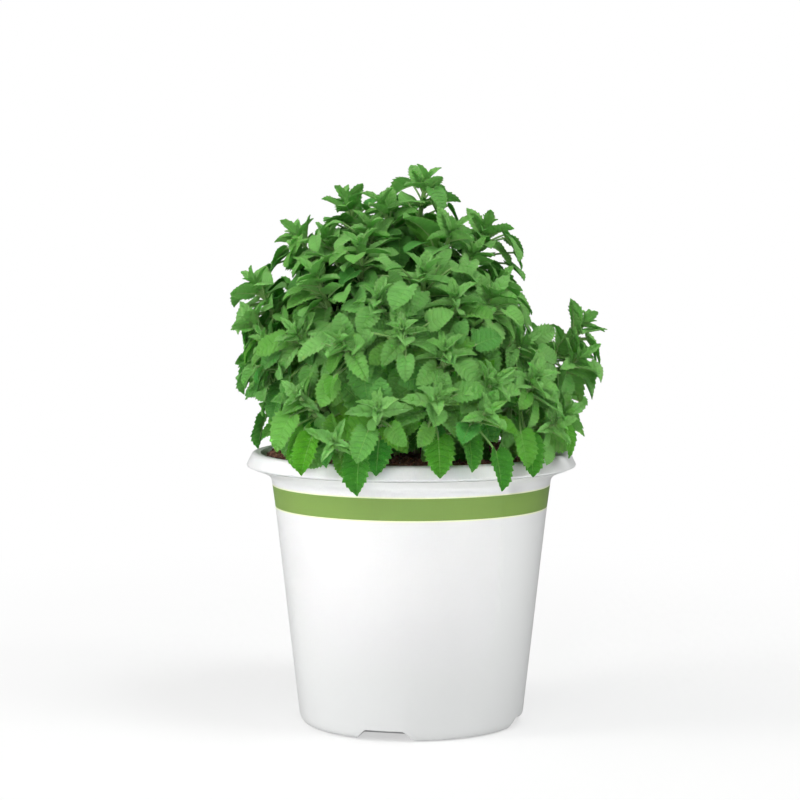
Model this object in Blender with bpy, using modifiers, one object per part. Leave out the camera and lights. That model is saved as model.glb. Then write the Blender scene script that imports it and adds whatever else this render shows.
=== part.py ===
"""A young catnip plant in a round plastic nursery pot, at its real size in metres, +Z up.

The origin lies on the pot's axis, in the plane that the pot stands on, and the front is towards -Y.
The pot is one thin moulding, filled with potting mix. The stems stand in plain holes in the mix.
Each stem carries its side shoots and its opposite pairs of toothed leaves as one solid.
"""

import math
import random

import bmesh
import bpy
import numpy as np
from mathutils import Matrix, Vector, noise
from mathutils.bvhtree import BVHTree
from mathutils.geometry import interpolate_bezier

MM = 0.001
UP = Vector((0, 0, 1))

# The pot
POT_SIDES = 32
POT_OUTSIDE_MM = (
    (0, 94.0), (54.8, 94.0), (56.6, 92.6), (57.0, 89.8), (54.3, 87.8), (50.2, 85.4), (48.6, 82.6),
    (47.2, 75.2), (39.0, 3.0), (38.2, 1.0), (36.6, 0), (0, 0),
)
POT_INSIDE_MM = (
    (0, 96.0), (52.6, 96.0), (52.0, 94.0), (50.6, 91.0), (48.1, 84.6), (46.0, 75.2), (37.6, 1.6), (0, 1.6),
)
BAND_LOW = 75.2 * MM
BAND_HIGH = 82.6 * MM
FLOOR_THICKNESS = 1.6 * MM
WALL = 1.3 * MM

# The drain arches, cut up into the foot of the wall, and the drain hole behind each
ARCHES = 4
FIRST_ARCH_DEG = -104.0
ARCH_HEIGHT = 3.5 * MM
ARCH_WIDTH_LOW = 19.2 * MM
ARCH_WIDTH_HIGH = 11.9 * MM
ARCH_INNER_RADIUS = 25.5 * MM
DRAIN_RADIUS = 3.0 * MM
DRAIN_PLACE = 31.0 * MM

# The potting mix
FIT_GAP = 0.35 * MM
SOIL_SIDES = 20
SOIL_TOP = 91.2 * MM
SOIL_LUMP = 0.7 * MM
SOIL_RINGS_MM = (40.0, 27.0, 13.0)

# The stems' feet in the mix
HOLE_DEPTH = 8.0 * MM
HOLE_CLEARANCE = 1.05 * MM
HOLE_SIDES = 4
STEM_FOOT_RADIUS = 1.35 * MM
STEM_TIP_RADIUS = 0.75 * MM
SHOOT_FORK_RADIUS = 0.95 * MM
SHOOT_TIP_RADIUS = 0.65 * MM

# Each stem: its name, its foot on the mix (x, y), its tip (x, y, z), and how many leaf pairs it has, in mm
STEMS = (
    ("stem_crown", (2, 0), (5, -4, 187), 6),
    ("stem_crown_left", (-8, 5), (-22.5, 5, 180.5), 5),
    ("stem_right_shoulder", (10, 5), (26, 4, 171.5), 5),
    ("stem_far_left", (-20, 4), (-54, 2, 152), 5),
    ("stem_left_low", (-24, -8), (-49, -18, 132), 4),
    ("stem_front_left", (-13, -7), (-32, -26, 155), 5),
    ("stem_front_upper", (-5, -13), (-11, -44, 148), 5),
    ("stem_front_centre", (5, -11), (4, -36, 156), 5),
    ("stem_front_right", (14, -7), (27, -27, 148), 5),
    ("stem_front_right_low", (11, -21), (10.5, -54, 131), 4),
    ("stem_far_right", (25, -3), (59, -4, 138), 5),
    ("stem_right_low", (25, -16), (41, -42, 122), 4),
    ("stem_rim_centre", (4, -31), (8, -58, 116), 3),
    ("stem_rim_left_centre", (-9, -30), (-11, -59, 113), 3),
    ("stem_rim_left", (-23, -22), (-37, -44, 116), 3),
    ("stem_rim_right", (34, -8), (52, -17, 108), 3),
    ("stem_back_crown", (0, 12), (0, 20, 176), 5),
    ("stem_back_upper", (-9, 20), (-16, 40, 160), 5),
    ("stem_back_right", (11, 19), (20, 36, 156), 5),
    ("stem_back_left", (-22, 15), (-42, 30, 148), 5),
    ("stem_back_far_right", (24, 13), (46, 27, 131), 4),
    ("stem_back_low", (1, 32), (3, 58, 124), 3),
    ("stem_back_left_low", (-18, 28), (-34, 48, 122), 3),
    ("stem_back_right_low", (19, 27), (32, 50, 120), 3),
)

# Each side shoot: the stem that it springs from, how far up that stem, its tip in mm, and its leaf pairs
SIDE_SHOOTS = (
    ("stem_crown", 0.62, (14, -17, 170), 3),
    ("stem_crown", 0.66, (-10, -9, 179), 3),
    ("stem_crown_left", 0.55, (-39, 7, 168), 3),
    ("stem_crown_left", 0.66, (-14, -12, 171), 2),
    ("stem_crown_left", 0.50, (-29, -4, 168), 3),
    ("stem_right_shoulder", 0.60, (30, -9, 153), 3),
    ("stem_right_shoulder", 0.50, (21, -13, 162), 2),
    ("stem_far_left", 0.60, (-54, -10, 140), 2),
    ("stem_far_left", 0.45, (-53, 12, 128), 2),
    ("stem_left_low", 0.50, (-50, -12, 120), 2),
    ("stem_front_left", 0.62, (-17, -25, 165), 2),
    ("stem_front_left", 0.50, (-38, -32, 136), 2),
    ("stem_front_upper", 0.55, (-23, -50, 134), 2),
    ("stem_front_centre", 0.55, (-3, -52, 138), 2),
    ("stem_front_right", 0.60, (14, -42, 148), 2),
    ("stem_front_right", 0.55, (37, -25, 132), 2),
    ("stem_front_right_low", 0.50, (26, -54, 121), 2),
    ("stem_far_right", 0.66, (57, -14, 127), 2),
    ("stem_far_right", 0.55, (54, 8, 130), 2),
    ("stem_right_low", 0.50, (48, -36, 106), 2),
    ("stem_rim_centre", 0.40, (24, -59, 112), 2),
    ("stem_rim_left", 0.40, (-25, -57, 102), 2),
    ("stem_back_crown", 0.60, (-20, 24, 164), 2),
    ("stem_back_upper", 0.55, (-2, 50, 142), 2),
    ("stem_back_right", 0.55, (34, 38, 136), 2),
    ("stem_back_left", 0.50, (-52, 26, 124), 2),
    ("stem_back_far_right", 0.50, (56, 20, 114), 2),
    ("stem_back_low", 0.40, (-14, 58, 108), 2),
    ("stem_back_left_low", 0.40, (-46, 38, 104), 2),
    ("stem_back_right_low", 0.40, (44, 42, 104), 2),
)

# How a leaf changes from the shoot's tip down, pair by pair, below the folded pair of the bud itself
BUD_LENGTH = 8.0 * MM
BUD_SPLAY_DEG = 33
PAIR_FROM_TIP_MM = (4.6, 10.0, 17.0, 26.0, 36.5, 48.0, 60.0)
BLADE_LENGTH_MM = (11.5, 15.0, 17.5, 18.8, 19.0, 18.5, 17.5)
PETIOLE_MM = (2.6, 3.8, 5.4, 6.6, 7.2, 8.0, 8.5)
SPLAY_DEG = (46, 60, 70, 78, 80, 82, 84)
SAG = (0.1, 0.5, 0.9, 1.1, 1.2, 1.2, 1.2)
DROOP_DEG = (20, 27, 32, 34, 34, 34, 34)

# The leaves that hang over the pot's rim: where each one's tip is, in mm
HANGING_TIPS = (
    (-18, -60, 84.5), (29, -60, 85), (-31, -54, 88.5), (-1, -60, 90), (9, -60, 89.5), (40, -46, 89),
    (-38, -43, 91), (-24, 58, 87), (11, 61, 86), (42, 46, 89),
)
HANGING_LENGTH = 16.5 * MM
HANGING_DROOP_DEG = 14
HANGING_PAIR = 5

# The blade's margin from lobe to tip, as (share of the length, share of the half width), by how finely it is cut
MARGINS = {
    "large": ((-0.07, 0.62), (0.14, 1.0), (0.34, 0.76), (0.48, 0.80), (0.70, 0.44)),
    "small": ((-0.05, 0.62), (0.20, 1.0), (0.56, 0.66)),
}
LARGE_FROM = 16.0 * MM
HALF_WIDTH_SHARE = {"large": 0.42, "small": 0.40}
RIB_THICKNESS = {"large": 1.0 * MM, "small": 0.8 * MM}
MID_RIB = 0.42
CUP_DEG = 14.0
PETIOLE_TWIST = 0.75
LEAST_TURN = 0.12
MOST_TWIST = 0.45
PETIOLE_HALF = 0.42 * MM
ROOT_HALF = 0.36 * MM
DOME_CENTRE = Vector((0, 0, 0.112))
SHADE_RADIUS = 17.0 * MM
SHADE_HEIGHT = 142.0 * MM
SEED = 7
TRIES = 26
CLEAR_GAP = 0.45 * MM


def mm(x, y, z=0.0):
    """A point given in millimetres."""
    return Vector((x, y, z)) * MM


def turned(name, profile_mm, sides, collection):
    """A solid of revolution about Z, from a profile that runs down its outer side."""
    mesh = bpy.data.meshes.new(name)
    points = [(x * MM, 0, z * MM) for x, z in profile_mm]
    mesh.from_pydata(points, [(i, i + 1) for i in range(len(points) - 1)], [])
    obj = bpy.data.objects.new(name, mesh)
    collection.objects.link(obj)
    screw = obj.modifiers.new("turn", "SCREW")
    screw.steps = sides
    screw.render_steps = sides
    screw.use_merge_vertices = True
    screw.merge_threshold = 0.00001
    apply_modifiers(obj)
    return obj


def apply_modifiers(obj):
    """Bakes an object's modifiers into a mesh of its own."""
    bpy.context.view_layer.update()
    graph = bpy.context.evaluated_depsgraph_get()
    mesh = bpy.data.meshes.new_from_object(obj.evaluated_get(graph))
    obj.modifiers.clear()
    obj.data = mesh


def boolean(obj, operation, other):
    """Cuts, or joins, an object or a whole collection of objects, and applies it."""
    modifier = obj.modifiers.new("boolean", "BOOLEAN")
    modifier.operation = operation
    if isinstance(other, bpy.types.Collection):
        modifier.operand_type = "COLLECTION"
        modifier.collection = other
    else:
        modifier.object = other
    apply_modifiers(obj)


def remove_all(objects):
    for obj in list(objects):
        bpy.data.objects.remove(obj)


def finish(name, colour, roughness):
    """A plain material for one kind of piece."""
    material = bpy.data.materials.new(name)
    material.use_nodes = True
    shader = material.node_tree.nodes["Principled BSDF"]
    shader.inputs["Base Color"].default_value = (*colour, 1.0)
    shader.inputs["Roughness"].default_value = roughness
    material.diffuse_color = (*colour, 1.0)
    return material


def arch_block(collection, turn_deg, grow, inner, outer, low):
    """The tapered block that fills one drain arch, grown on every side, from inner to outer radius."""
    mesh = bpy.data.meshes.new("arch_block")
    shape = bmesh.new()
    bmesh.ops.create_cube(shape, size=1.0)
    high = ARCH_HEIGHT + grow
    for vertex in shape.verts:
        width = ARCH_WIDTH_HIGH if vertex.co.z > 0 else ARCH_WIDTH_LOW
        vertex.co.y = math.copysign(width / 2 + grow, vertex.co.y)
        vertex.co.x = outer if vertex.co.x > 0 else inner
        vertex.co.z = high if vertex.co.z > 0 else low
    shape.transform(Matrix.Rotation(math.radians(turn_deg), 4, "Z"))
    shape.to_mesh(mesh)
    shape.free()
    obj = bpy.data.objects.new("arch_block", mesh)
    collection.objects.link(obj)
    return obj


def arch_angles():
    return [FIRST_ARCH_DEG + 360 * i / ARCHES for i in range(ARCHES)]


def round_cutter(collection, centre, radius, low, high, sides):
    """An upright round cutter."""
    shape = bmesh.new()
    bmesh.ops.create_cone(
        shape, cap_ends=True, segments=sides, radius1=radius, radius2=radius, depth=high - low,
        matrix=Matrix.Translation((centre[0], centre[1], (low + high) / 2)),
    )
    mesh = bpy.data.meshes.new("round_cutter")
    shape.to_mesh(mesh)
    shape.free()
    obj = bpy.data.objects.new("round_cutter", mesh)
    collection.objects.link(obj)
    return obj


def build_pot(parts, cutters):
    """The moulded pot: wall, thick rim, floor, and four arches with a drain hole over each."""
    pot = turned("pot", POT_OUTSIDE_MM, POT_SIDES, parts)
    cavity = turned("cavity", POT_INSIDE_MM, POT_SIDES, cutters)
    outside = 60 * MM
    for angle in arch_angles():
        hump = arch_block(cutters, angle, WALL, ARCH_INNER_RADIUS - WALL, outside, -5 * MM)
        boolean(cavity, "DIFFERENCE", hump)
        bpy.data.objects.remove(hump)
    boolean(pot, "DIFFERENCE", cavity)
    for angle in arch_angles():
        arch = arch_block(cutters, angle, 0, ARCH_INNER_RADIUS, outside, -5 * MM)
        boolean(pot, "DIFFERENCE", arch)
        turn = math.radians(angle)
        place = (DRAIN_PLACE * math.cos(turn), DRAIN_PLACE * math.sin(turn))
        hole = round_cutter(cutters, place, DRAIN_RADIUS, ARCH_HEIGHT - MM, ARCH_HEIGHT + 3 * MM, 10)
        boolean(pot, "DIFFERENCE", hole)
    remove_all(cutters.objects)
    pot.data.materials.clear()
    pot.data.materials.append(finish("white_plastic", (0.80, 0.81, 0.80), 0.38))
    pot.data.materials.append(finish("green_print", (0.22, 0.38, 0.11), 0.42))
    for face in pot.data.polygons:
        middle = face.center
        outer_side = middle.to_2d().dot(face.normal.to_2d()) > 0
        face.material_index = int(BAND_LOW < middle.z < BAND_HIGH and outer_side)
    pot.data.shade_smooth()
    pot.data.set_sharp_from_angle(angle=math.radians(28))
    return pot


def build_soil(parts, cutters, feet):
    """The potting mix: it fills the pot, has a lumpy top, and holds a plain hole for each stem."""
    shrink = 1 - math.cos(math.pi / POT_SIDES)
    side = [
        (r * (1 - shrink) - FIT_GAP / MM, z)
        for r, z in POT_INSIDE_MM[3:-1]
    ]
    top = SOIL_TOP / MM
    edge = side[0][0] + 0.1
    bottom = (FLOOR_THICKNESS + FIT_GAP) / MM
    profile = [(0, top)] + [(r, top) for r in reversed(SOIL_RINGS_MM)] + [(edge, top - 0.6)]
    profile += [(r, z) for r, z in side if z < top - 2] + [(side[-1][0], bottom), (0, bottom)]
    profile = [p for i, p in enumerate(profile) if i == 0 or p != profile[i - 1]]
    soil = turned("soil", profile, SOIL_SIDES, parts)
    for vertex in soil.data.vertices:
        if vertex.co.z > SOIL_TOP - 0.2 * MM:
            vertex.co.z += SOIL_LUMP * noise.noise(vertex.co * 60)
    for angle in arch_angles():
        block = arch_block(cutters, angle, WALL + FIT_GAP, ARCH_INNER_RADIUS - WALL - FIT_GAP, 60 * MM, -5 * MM)
        boolean(soil, "DIFFERENCE", block)
        bpy.data.objects.remove(block)
    for x, y in feet:
        radius = STEM_FOOT_RADIUS + HOLE_CLEARANCE
        hole = round_cutter(cutters, (x, y), radius, SOIL_TOP - HOLE_DEPTH, SOIL_TOP + 4 * MM, HOLE_SIDES)
        boolean(soil, "DIFFERENCE", hole)
        bpy.data.objects.remove(hole)
    soil.data.materials.clear()
    soil.data.materials.append(finish("potting_mix", (0.055, 0.032, 0.022), 0.95))
    return soil


# How the plant grows. Shoots are curves, leaves are poses, and nothing new crosses what stands already.


def curve_points(start, start_handle, end_handle, end, step=13 * MM):
    count = max(4, int((end - start).length / step) + 2)
    return interpolate_bezier(start, start_handle, end_handle, end, count)


def outward(point):
    """The level direction away from the pot's axis."""
    flat = Vector((point.x, point.y, 0))
    return flat.normalized() if flat.length > MM else Vector((0, -1, 0))


def tip_direction(tip):
    """Where a shoot's tip looks: up, and outwards the more the lower it is."""
    height = (tip.z - SOIL_TOP) / (100 * MM)
    lean = 0.75 * max(0.0, 1.15 - height) + 0.12
    return (UP + outward(tip) * lean).normalized()


def stem_curve(foot, tip, bow):
    reach = (tip - foot).length
    sideways = UP.cross(outward(tip)) * bow
    straight = foot + UP * 2.5 * MM
    points = curve_points(
        straight, straight + UP * reach * 0.34 + sideways, tip - tip_direction(tip) * reach * 0.36 + sideways, tip
    )
    return [foot - UP * (HOLE_DEPTH - FIT_GAP)] + points


def shoot_curve(parent, share, tip, bow):
    points = parent["points"]
    place = share * (len(points) - 1)
    before = int(place)
    fork = points[before].lerp(points[before + 1], place - before)
    along = (points[before + 1] - points[before]).normalized()
    reach = (tip - fork).length
    sideways = UP.cross(outward(tip)) * bow
    towards = (tip - fork).normalized()
    first = fork + (along + towards).normalized() * reach * 0.33 + sideways
    return curve_points(fork, first, tip - tip_direction(tip) * reach * 0.36 + sideways, tip)


def nearest(points, others):
    """The least distance between the points of two curves, sampled twice as finely as they are stored."""
    a = dense(points)
    b = dense(others)
    return float(np.sqrt(((a[:, None] - b[None]) ** 2).sum(2)).min())


def dense(points):
    array = np.array(points)
    return np.concatenate([array, (array[1:] + array[:-1]) / 2, array[1:] * 0.25 + array[:-1] * 0.75])


def grow_shoots():
    """Every stem and side shoot, each bowed sideways just enough to pass the stems that stand already."""
    shoots = []
    stems = {}
    plans = [(name, None, mm(*foot, SOIL_TOP / MM), mm(*tip), pairs) for name, foot, tip, pairs in STEMS]
    plans += [(name, share, None, mm(*tip), pairs) for name, share, tip, pairs in SIDE_SHOOTS]
    for name, share, foot, tip, pairs in plans:
        best = None
        for bow in (0, 3, -3, 6, -6, 9, -9, 12, -12):
            if share is None:
                points = stem_curve(foot, tip, bow * MM)
            else:
                points = shoot_curve(stems[name], share, tip, bow * MM)
            gaps = [nearest(points, other["points"]) for other in shoots if other["stem"] != name]
            gap = min(gaps, default=1.0)
            if best is None or gap > best[0]:
                best = (gap, points)
            if gap > 3.4 * MM:
                break
        rng = random.Random(SEED * 500 + len(shoots))
        shoot = {
            "stem": name, "main": share is None, "points": best[1], "pairs": pairs, "gap": best[0],
            "turn": rng.uniform(-0.5, 0.5), "bud": BUD_LENGTH * rng.uniform(0.85, 1.15),
        }
        if share is None:
            stems[name] = shoot
        shoots.append(shoot)
    return shoots


def point_from_tip(points, distance):
    """The point of a shoot at a distance back from its tip, with the direction of growth there."""
    left = distance
    for near, far in zip(points[::-1], points[-2::-1]):
        span = (near - far).length
        if left <= span:
            return near.lerp(far, left / span), (near - far).normalized()
        left -= span
    return points[0].copy(), (points[1] - points[0]).normalized()


def leaf_sites(shoots):
    """Every leaf that the shoots would carry, as opposite pairs that turn by a right angle from pair to pair."""
    sites = []
    for number, shoot in enumerate(shoots):
        rng = random.Random(SEED * 1000 + number)
        length = sum((b - a).length for a, b in zip(shoot["points"], shoot["points"][1:]))
        turn = shoot["turn"] + math.pi / 2
        vigour = rng.uniform(0.94, 1.08) if shoot["main"] else rng.uniform(0.86, 1.0)
        for pair in range(shoot["pairs"]):
            distance = PAIR_FROM_TIP_MM[pair] * MM * (1.0 if shoot["main"] else 0.92)
            if distance > length - 7 * MM:
                break
            place, along = point_from_tip(shoot["points"], distance)
            if place.xy.length < SHADE_RADIUS and place.z < SHADE_HEIGHT:
                break
            for half in (0, 1):
                sites.append({
                    "stem": shoot["stem"], "shoot": number, "place": place, "along": along, "pair": pair,
                    "turn": turn + pair * math.pi / 2 + half * math.pi,
                    "length": BLADE_LENGTH_MM[pair] * MM * vigour * rng.uniform(0.92, 1.08),
                    "seed": rng.randrange(1 << 30),
                })
    sites.sort(key=lambda site: (-site["length"], site["seed"]))
    return sites


def dome_direction(place):
    """Where the light comes from for a leaf in this place of the dome that the foliage makes."""
    return (place - DOME_CENTRE).normalized()


def leaf_pose(site, attempt):
    """One way that a leaf could stand: its rib, its face turned to the light, and its curve."""
    rng = random.Random(site["seed"] + attempt)
    pair = site["pair"]
    loose = min(1.0, 0.35 + attempt * 0.06)
    along = site["along"]
    away = dome_direction(site["place"])
    side = turned_side(along, site["turn"] + rng.uniform(-0.7, 0.7) * loose)
    splay = math.radians(SPLAY_DEG[pair] + rng.uniform(-22, 18) * loose)
    petiole = along * math.cos(splay) + side * math.sin(splay)
    sag = SAG[pair] + rng.uniform(-0.45, 0.45) * loose
    forward = (petiole + away * 0.18 - UP * sag).normalized()
    light = away * rng.uniform(0.9, 1.4) + UP * 0.6
    roll = math.radians(math.copysign(rng.uniform(8, 42), rng.random() - 0.5))
    normal = facing(forward, light, roll)
    across = forward.cross(normal)
    petiole = (petiole - across * petiole.dot(across) * PETIOLE_TWIST).normalized()
    return leaf(site, rng, petiole, site["place"] + petiole * PETIOLE_MM[pair] * MM * rng.uniform(0.85, 1.25),
                forward, normal, site["length"] * (1.0 - 0.014 * attempt), DROOP_DEG[pair])


def hanging_site(tip, shoots):
    """A leaf that hangs over the rim: it springs from the shoot behind it that is nearest."""
    out = outward(tip)
    sideways = UP.cross(out)
    joint = tip - (out * 0.3 - UP).normalized() * HANGING_LENGTH
    best = None
    for number, shoot in enumerate(shoots):
        for place in dense([point for point in shoot["points"] if point.z > SOIL_TOP + 5 * MM]):
            reach = joint - Vector(place)
            cost = reach.length + abs(reach.z) * 0.5 + abs(reach.dot(sideways)) * 1.5
            cost += max(0.0, 4 * MM - reach.dot(out)) * 4
            if best is None or cost < best[0]:
                best = (cost, number, Vector(place))
    _, number, place = best
    seed = SEED + round(tip.x * 7000 + tip.y * 3000)
    return {"stem": shoots[number]["stem"], "shoot": number, "place": place, "joint": joint, "seed": seed}


def hanging_pose(site, attempt):
    """One way that a leaf could hang over the rim, with its face outwards."""
    rng = random.Random(site["seed"] + attempt)
    joint = site["joint"] + Vector([rng.uniform(-0.3, 0.3) * attempt * MM for _ in range(3)])
    out = outward(joint)
    forward = (out * (0.42 + rng.uniform(-0.03, 0.03) * attempt) - UP).normalized()
    normal = facing(forward, out + UP * 0.3, math.radians(rng.uniform(-15, 15)))
    petiole = (joint - site["place"]).normalized()
    return leaf(site, rng, petiole, joint, forward, normal, HANGING_LENGTH * rng.uniform(0.95, 1.05), HANGING_DROOP_DEG)


def facing(forward, light, roll):
    """A blade's normal: it looks at the light as far as its rib lets it, and rolls a little round the rib."""
    normal = light - forward * light.dot(forward)
    if normal.length < 0.12:
        normal = UP - forward * UP.dot(forward)
    return Matrix.Rotation(roll, 3, forward) @ normal.normalized()


def leaf(site, rng, petiole, joint, forward, normal, length, droop_deg):
    kind = "large" if length > LARGE_FROM else "small"
    return {
        "stem": site["stem"], "shoot": site["shoot"], "pair": site.get("pair", HANGING_PAIR), "seed": site["seed"],
        "kind": kind, "root": site["place"] - petiole * rng.uniform(0.05, 0.2) * MM, "petiole": petiole,
        "joint": joint, "forward": forward, "normal": normal, "side": forward.cross(normal), "length": length,
        "half": length * HALF_WIDTH_SHARE[kind] * rng.uniform(0.93, 1.07),
        "droop": math.radians(droop_deg + rng.uniform(-10, 10)), "cup": math.radians(CUP_DEG + rng.uniform(-5, 7)),
    }


def well_bent(pose):
    """Whether the petiole meets the blade from behind or below it, and not through one of its lobes."""
    turn = pose["petiole"].dot(pose["forward"])
    return turn > LEAST_TURN and abs(pose["petiole"].dot(pose["side"])) < MOST_TWIST


def turned_side(along, turn):
    """A direction square to a shoot, at this angle round it."""
    across = along.cross(UP)
    across = across.normalized() if across.length > 0.05 else along.orthogonal().normalized()
    return Matrix.Rotation(turn, 3, along) @ across


def blade_frame(pose, share):
    """The rib's point, direction and normal at a share of the blade's length."""
    bend = pose["droop"]
    angle = bend * max(share, 0.0)
    ahead = math.sin(angle) / bend if share > 0 else share
    below = (1 - math.cos(angle)) / bend
    point = pose["joint"] + (pose["forward"] * ahead - pose["normal"] * below) * pose["length"]
    normal = pose["normal"] * math.cos(angle) + pose["forward"] * math.sin(angle)
    return point, normal


def blade_point(pose, share, across, grow=0.0):
    """A point of the cupped blade, across from -1 to 1 in half widths, moved outwards by grow."""
    point, normal = blade_frame(pose, share)
    reach = abs(across) * pose["half"] + grow
    sideways = pose["side"] * math.copysign(math.cos(pose["cup"]) * reach, across)
    return point + sideways + normal * math.sin(pose["cup"]) * reach


def leaf_solid(pose, grow=0.0, start=0.0):
    """Points and faces of one leaf: a three-sided petiole and a blade that is thickest along its rib.

    For a clearance test it is grown by a gap, and starts that far out from the stem's middle.
    """
    points = []
    petiole, side = pose["petiole"], pose["side"]
    root_side = (side - petiole * side.dot(petiole)).normalized()
    rings = (
        (pose["root"] + petiole * start, root_side, root_side.cross(petiole), ROOT_HALF + grow),
        (pose["joint"], side, side.cross(petiole + pose["forward"]).normalized(), PETIOLE_HALF + grow),
    )
    for ring, aside, above, half in rings:
        points += [ring - aside * half, ring + aside * half, ring - above * half * 1.6]
    faces = [(2, 1, 0), (0, 1, 4, 3), (1, 2, 5, 4), (2, 0, 3, 5)]
    left, right, under = 3, 4, 5
    left_margin, right_margin = [left], [right]
    for share, width in MARGINS[pose["kind"]]:
        for sign, chain in ((-1, left_margin), (1, right_margin)):
            chain.append(len(points))
            points.append(blade_point(pose, share, sign * width, grow))
    tip, _ = blade_frame(pose, 1.0 + grow / pose["length"])
    points.append(tip)
    left_margin.append(len(points) - 1)
    right_margin.append(len(points) - 1)
    middle, normal = blade_frame(pose, MID_RIB)
    half_thick = RIB_THICKNESS[pose["kind"]] / 2 + grow
    top, bottom = len(points), len(points) + 1
    points += [middle + normal * half_thick, middle - normal * half_thick]
    faces += [(left, right, top), (under, bottom, right), (under, left, bottom)]
    for a, b in zip(right_margin, right_margin[1:]):
        faces += [(top, a, b), (bottom, b, a)]
    for a, b in zip(left_margin, left_margin[1:]):
        faces += [(top, b, a), (bottom, a, b)]
    return points, faces


def bud_solid(shoot, grow=0.0):
    """The folded youngest pair that ends a shoot, as one boat-shaped solid that its stem runs up into."""
    tip = shoot["points"][-1]
    along = (tip - shoot["points"][-2]).normalized()
    side = turned_side(along, shoot["turn"])
    across = along.cross(side)
    length = shoot["bud"] + grow
    splay = math.radians(BUD_SPLAY_DEG)
    points = []
    for sign in (1, -1):
        rib = along * math.cos(splay) + side * math.sin(splay) * sign
        inward = along * math.sin(splay) - side * math.cos(splay) * sign
        for share, width in ((0.38, -sign), (1.0, 0), (0.38, sign)):
            half = length * 0.27 + grow
            points.append(tip + rib * length * share + across * half * width + inward * abs(width) * half * 0.3)
    points += [tip + along * (0.6 * MM + grow), tip - along * (2.4 * MM + grow)]
    faces = []
    for i in range(6):
        faces += [(6, i, (i + 1) % 6), (7, (i + 1) % 6, i)]
    return points, faces


class Thicket:
    """What stands already, so that nothing new crosses it."""

    def __init__(self):
        self.owners = []
        self.boxes = []
        self.trees = []

    def add(self, owner, points, faces):
        array = np.array(points)
        self.owners.append(owner)
        self.boxes.append(np.concatenate([array.min(0), -array.max(0)]))
        self.trees.append(BVHTree.FromPolygons(points, faces))

    def crossed(self, owner, solid, grown):
        """Whether a new solid meets one of its own stem's pieces, or its grown form meets any other."""
        array = np.array(grown[0])
        low, high = array.min(0), array.max(0)
        near = (np.array(self.boxes) <= np.concatenate([high, -low])).all(1)
        own_tree = BVHTree.FromPolygons(*solid)
        grown_tree = BVHTree.FromPolygons(*grown)
        for index in np.nonzero(near)[0]:
            tree = own_tree if self.owners[index] == owner else grown_tree
            if tree.overlap(self.trees[index]):
                return True
        return False


def lathe_faces(profile, sides):
    """Points and faces of a closed ring turned about Z, used only to keep leaves off the pot."""
    points, faces = [], []
    count = len(profile)
    for i in range(sides):
        angle = 2 * math.pi * i / sides
        points += [Vector((r * math.cos(angle), r * math.sin(angle), z)) for r, z in profile]
        for j in range(count):
            here, there = i * count, (i + 1) % sides * count
            faces.append((here + j, there + j, there + (j + 1) % count, here + (j + 1) % count))
    return points, faces


def square_tube(points, radii):
    """Points and faces of a four-sided tube along a shoot."""
    corners, faces = [], []
    for i, point in enumerate(points):
        along = (points[min(i + 1, len(points) - 1)] - points[max(i - 1, 0)]).normalized()
        x = along.cross(Vector((0.3, 1, 0.1))).normalized()
        y = along.cross(x)
        corners += [point + (x * math.cos(a) + y * math.sin(a)) * radii[i] for a in (0.0, 1.571, 3.142, 4.712)]
    for i in range(len(points) - 1):
        for j in range(4):
            k = (j + 1) % 4
            faces.append((4 * i + j, 4 * i + k, 4 * i + 4 + k, 4 * i + 4 + j))
    return corners, faces


def shoot_radii(shoot):
    low = STEM_FOOT_RADIUS if shoot["main"] else SHOOT_FORK_RADIUS
    high = STEM_TIP_RADIUS if shoot["main"] else SHOOT_TIP_RADIUS
    last = len(shoot["points"]) - 1
    return [low + (high - low) * i / last for i in range(last + 1)]


def grow_leaves(shoots):
    """The poses of all the leaves that find room, the largest first."""
    thicket = Thicket()
    rim = [(51.0, 88.6), (57.5, 88.6), (57.5, 92.6), (55.6, 94.4), (51.0, 94.4)]
    thicket.add("pot", *lathe_faces([(r * MM, z * MM) for r, z in rim], POT_SIDES))
    wall = [(48.0, 60.0), (49.6, 60.0), (49.6, 86.0), (48.0, 86.0)]
    thicket.add("pot", *lathe_faces([(r * MM, z * MM) for r, z in wall], POT_SIDES))
    thicket.add("soil", *lathe_faces([(r, SOIL_TOP + 1.0 * MM) for r in (2 * MM, 51 * MM)], POT_SIDES))
    for shoot in shoots:
        points = shoot["points"][1 if shoot["main"] else 0:]
        radii = shoot_radii(shoot)[-len(points):]
        thicket.add(shoot["stem"], *square_tube(points, radii))
    for shoot in shoots:
        thicket.add(shoot["stem"], *bud_solid(shoot))
    plans = [(hanging_pose, hanging_site(mm(*tip), shoots)) for tip in HANGING_TIPS]
    plans += [(leaf_pose, site) for site in leaf_sites(shoots)]
    poses = []
    for pose_maker, site in plans:
        for attempt in range(TRIES):
            pose = pose_maker(site, attempt)
            clear_of_stem = 2.0 * MM
            solid = leaf_solid(pose, 0.0, clear_of_stem)
            grown = leaf_solid(pose, CLEAR_GAP, clear_of_stem)
            if well_bent(pose) and not thicket.crossed(site["stem"], solid, grown):
                thicket.add(site["stem"], *solid)
                poses.append(pose)
                break
    return poses


def mesh_object(name, points, faces, collection):
    mesh = bpy.data.meshes.new(name)
    mesh.from_pydata(points, [], faces)
    obj = bpy.data.objects.new(name, mesh)
    collection.objects.link(obj)
    return obj


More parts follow.
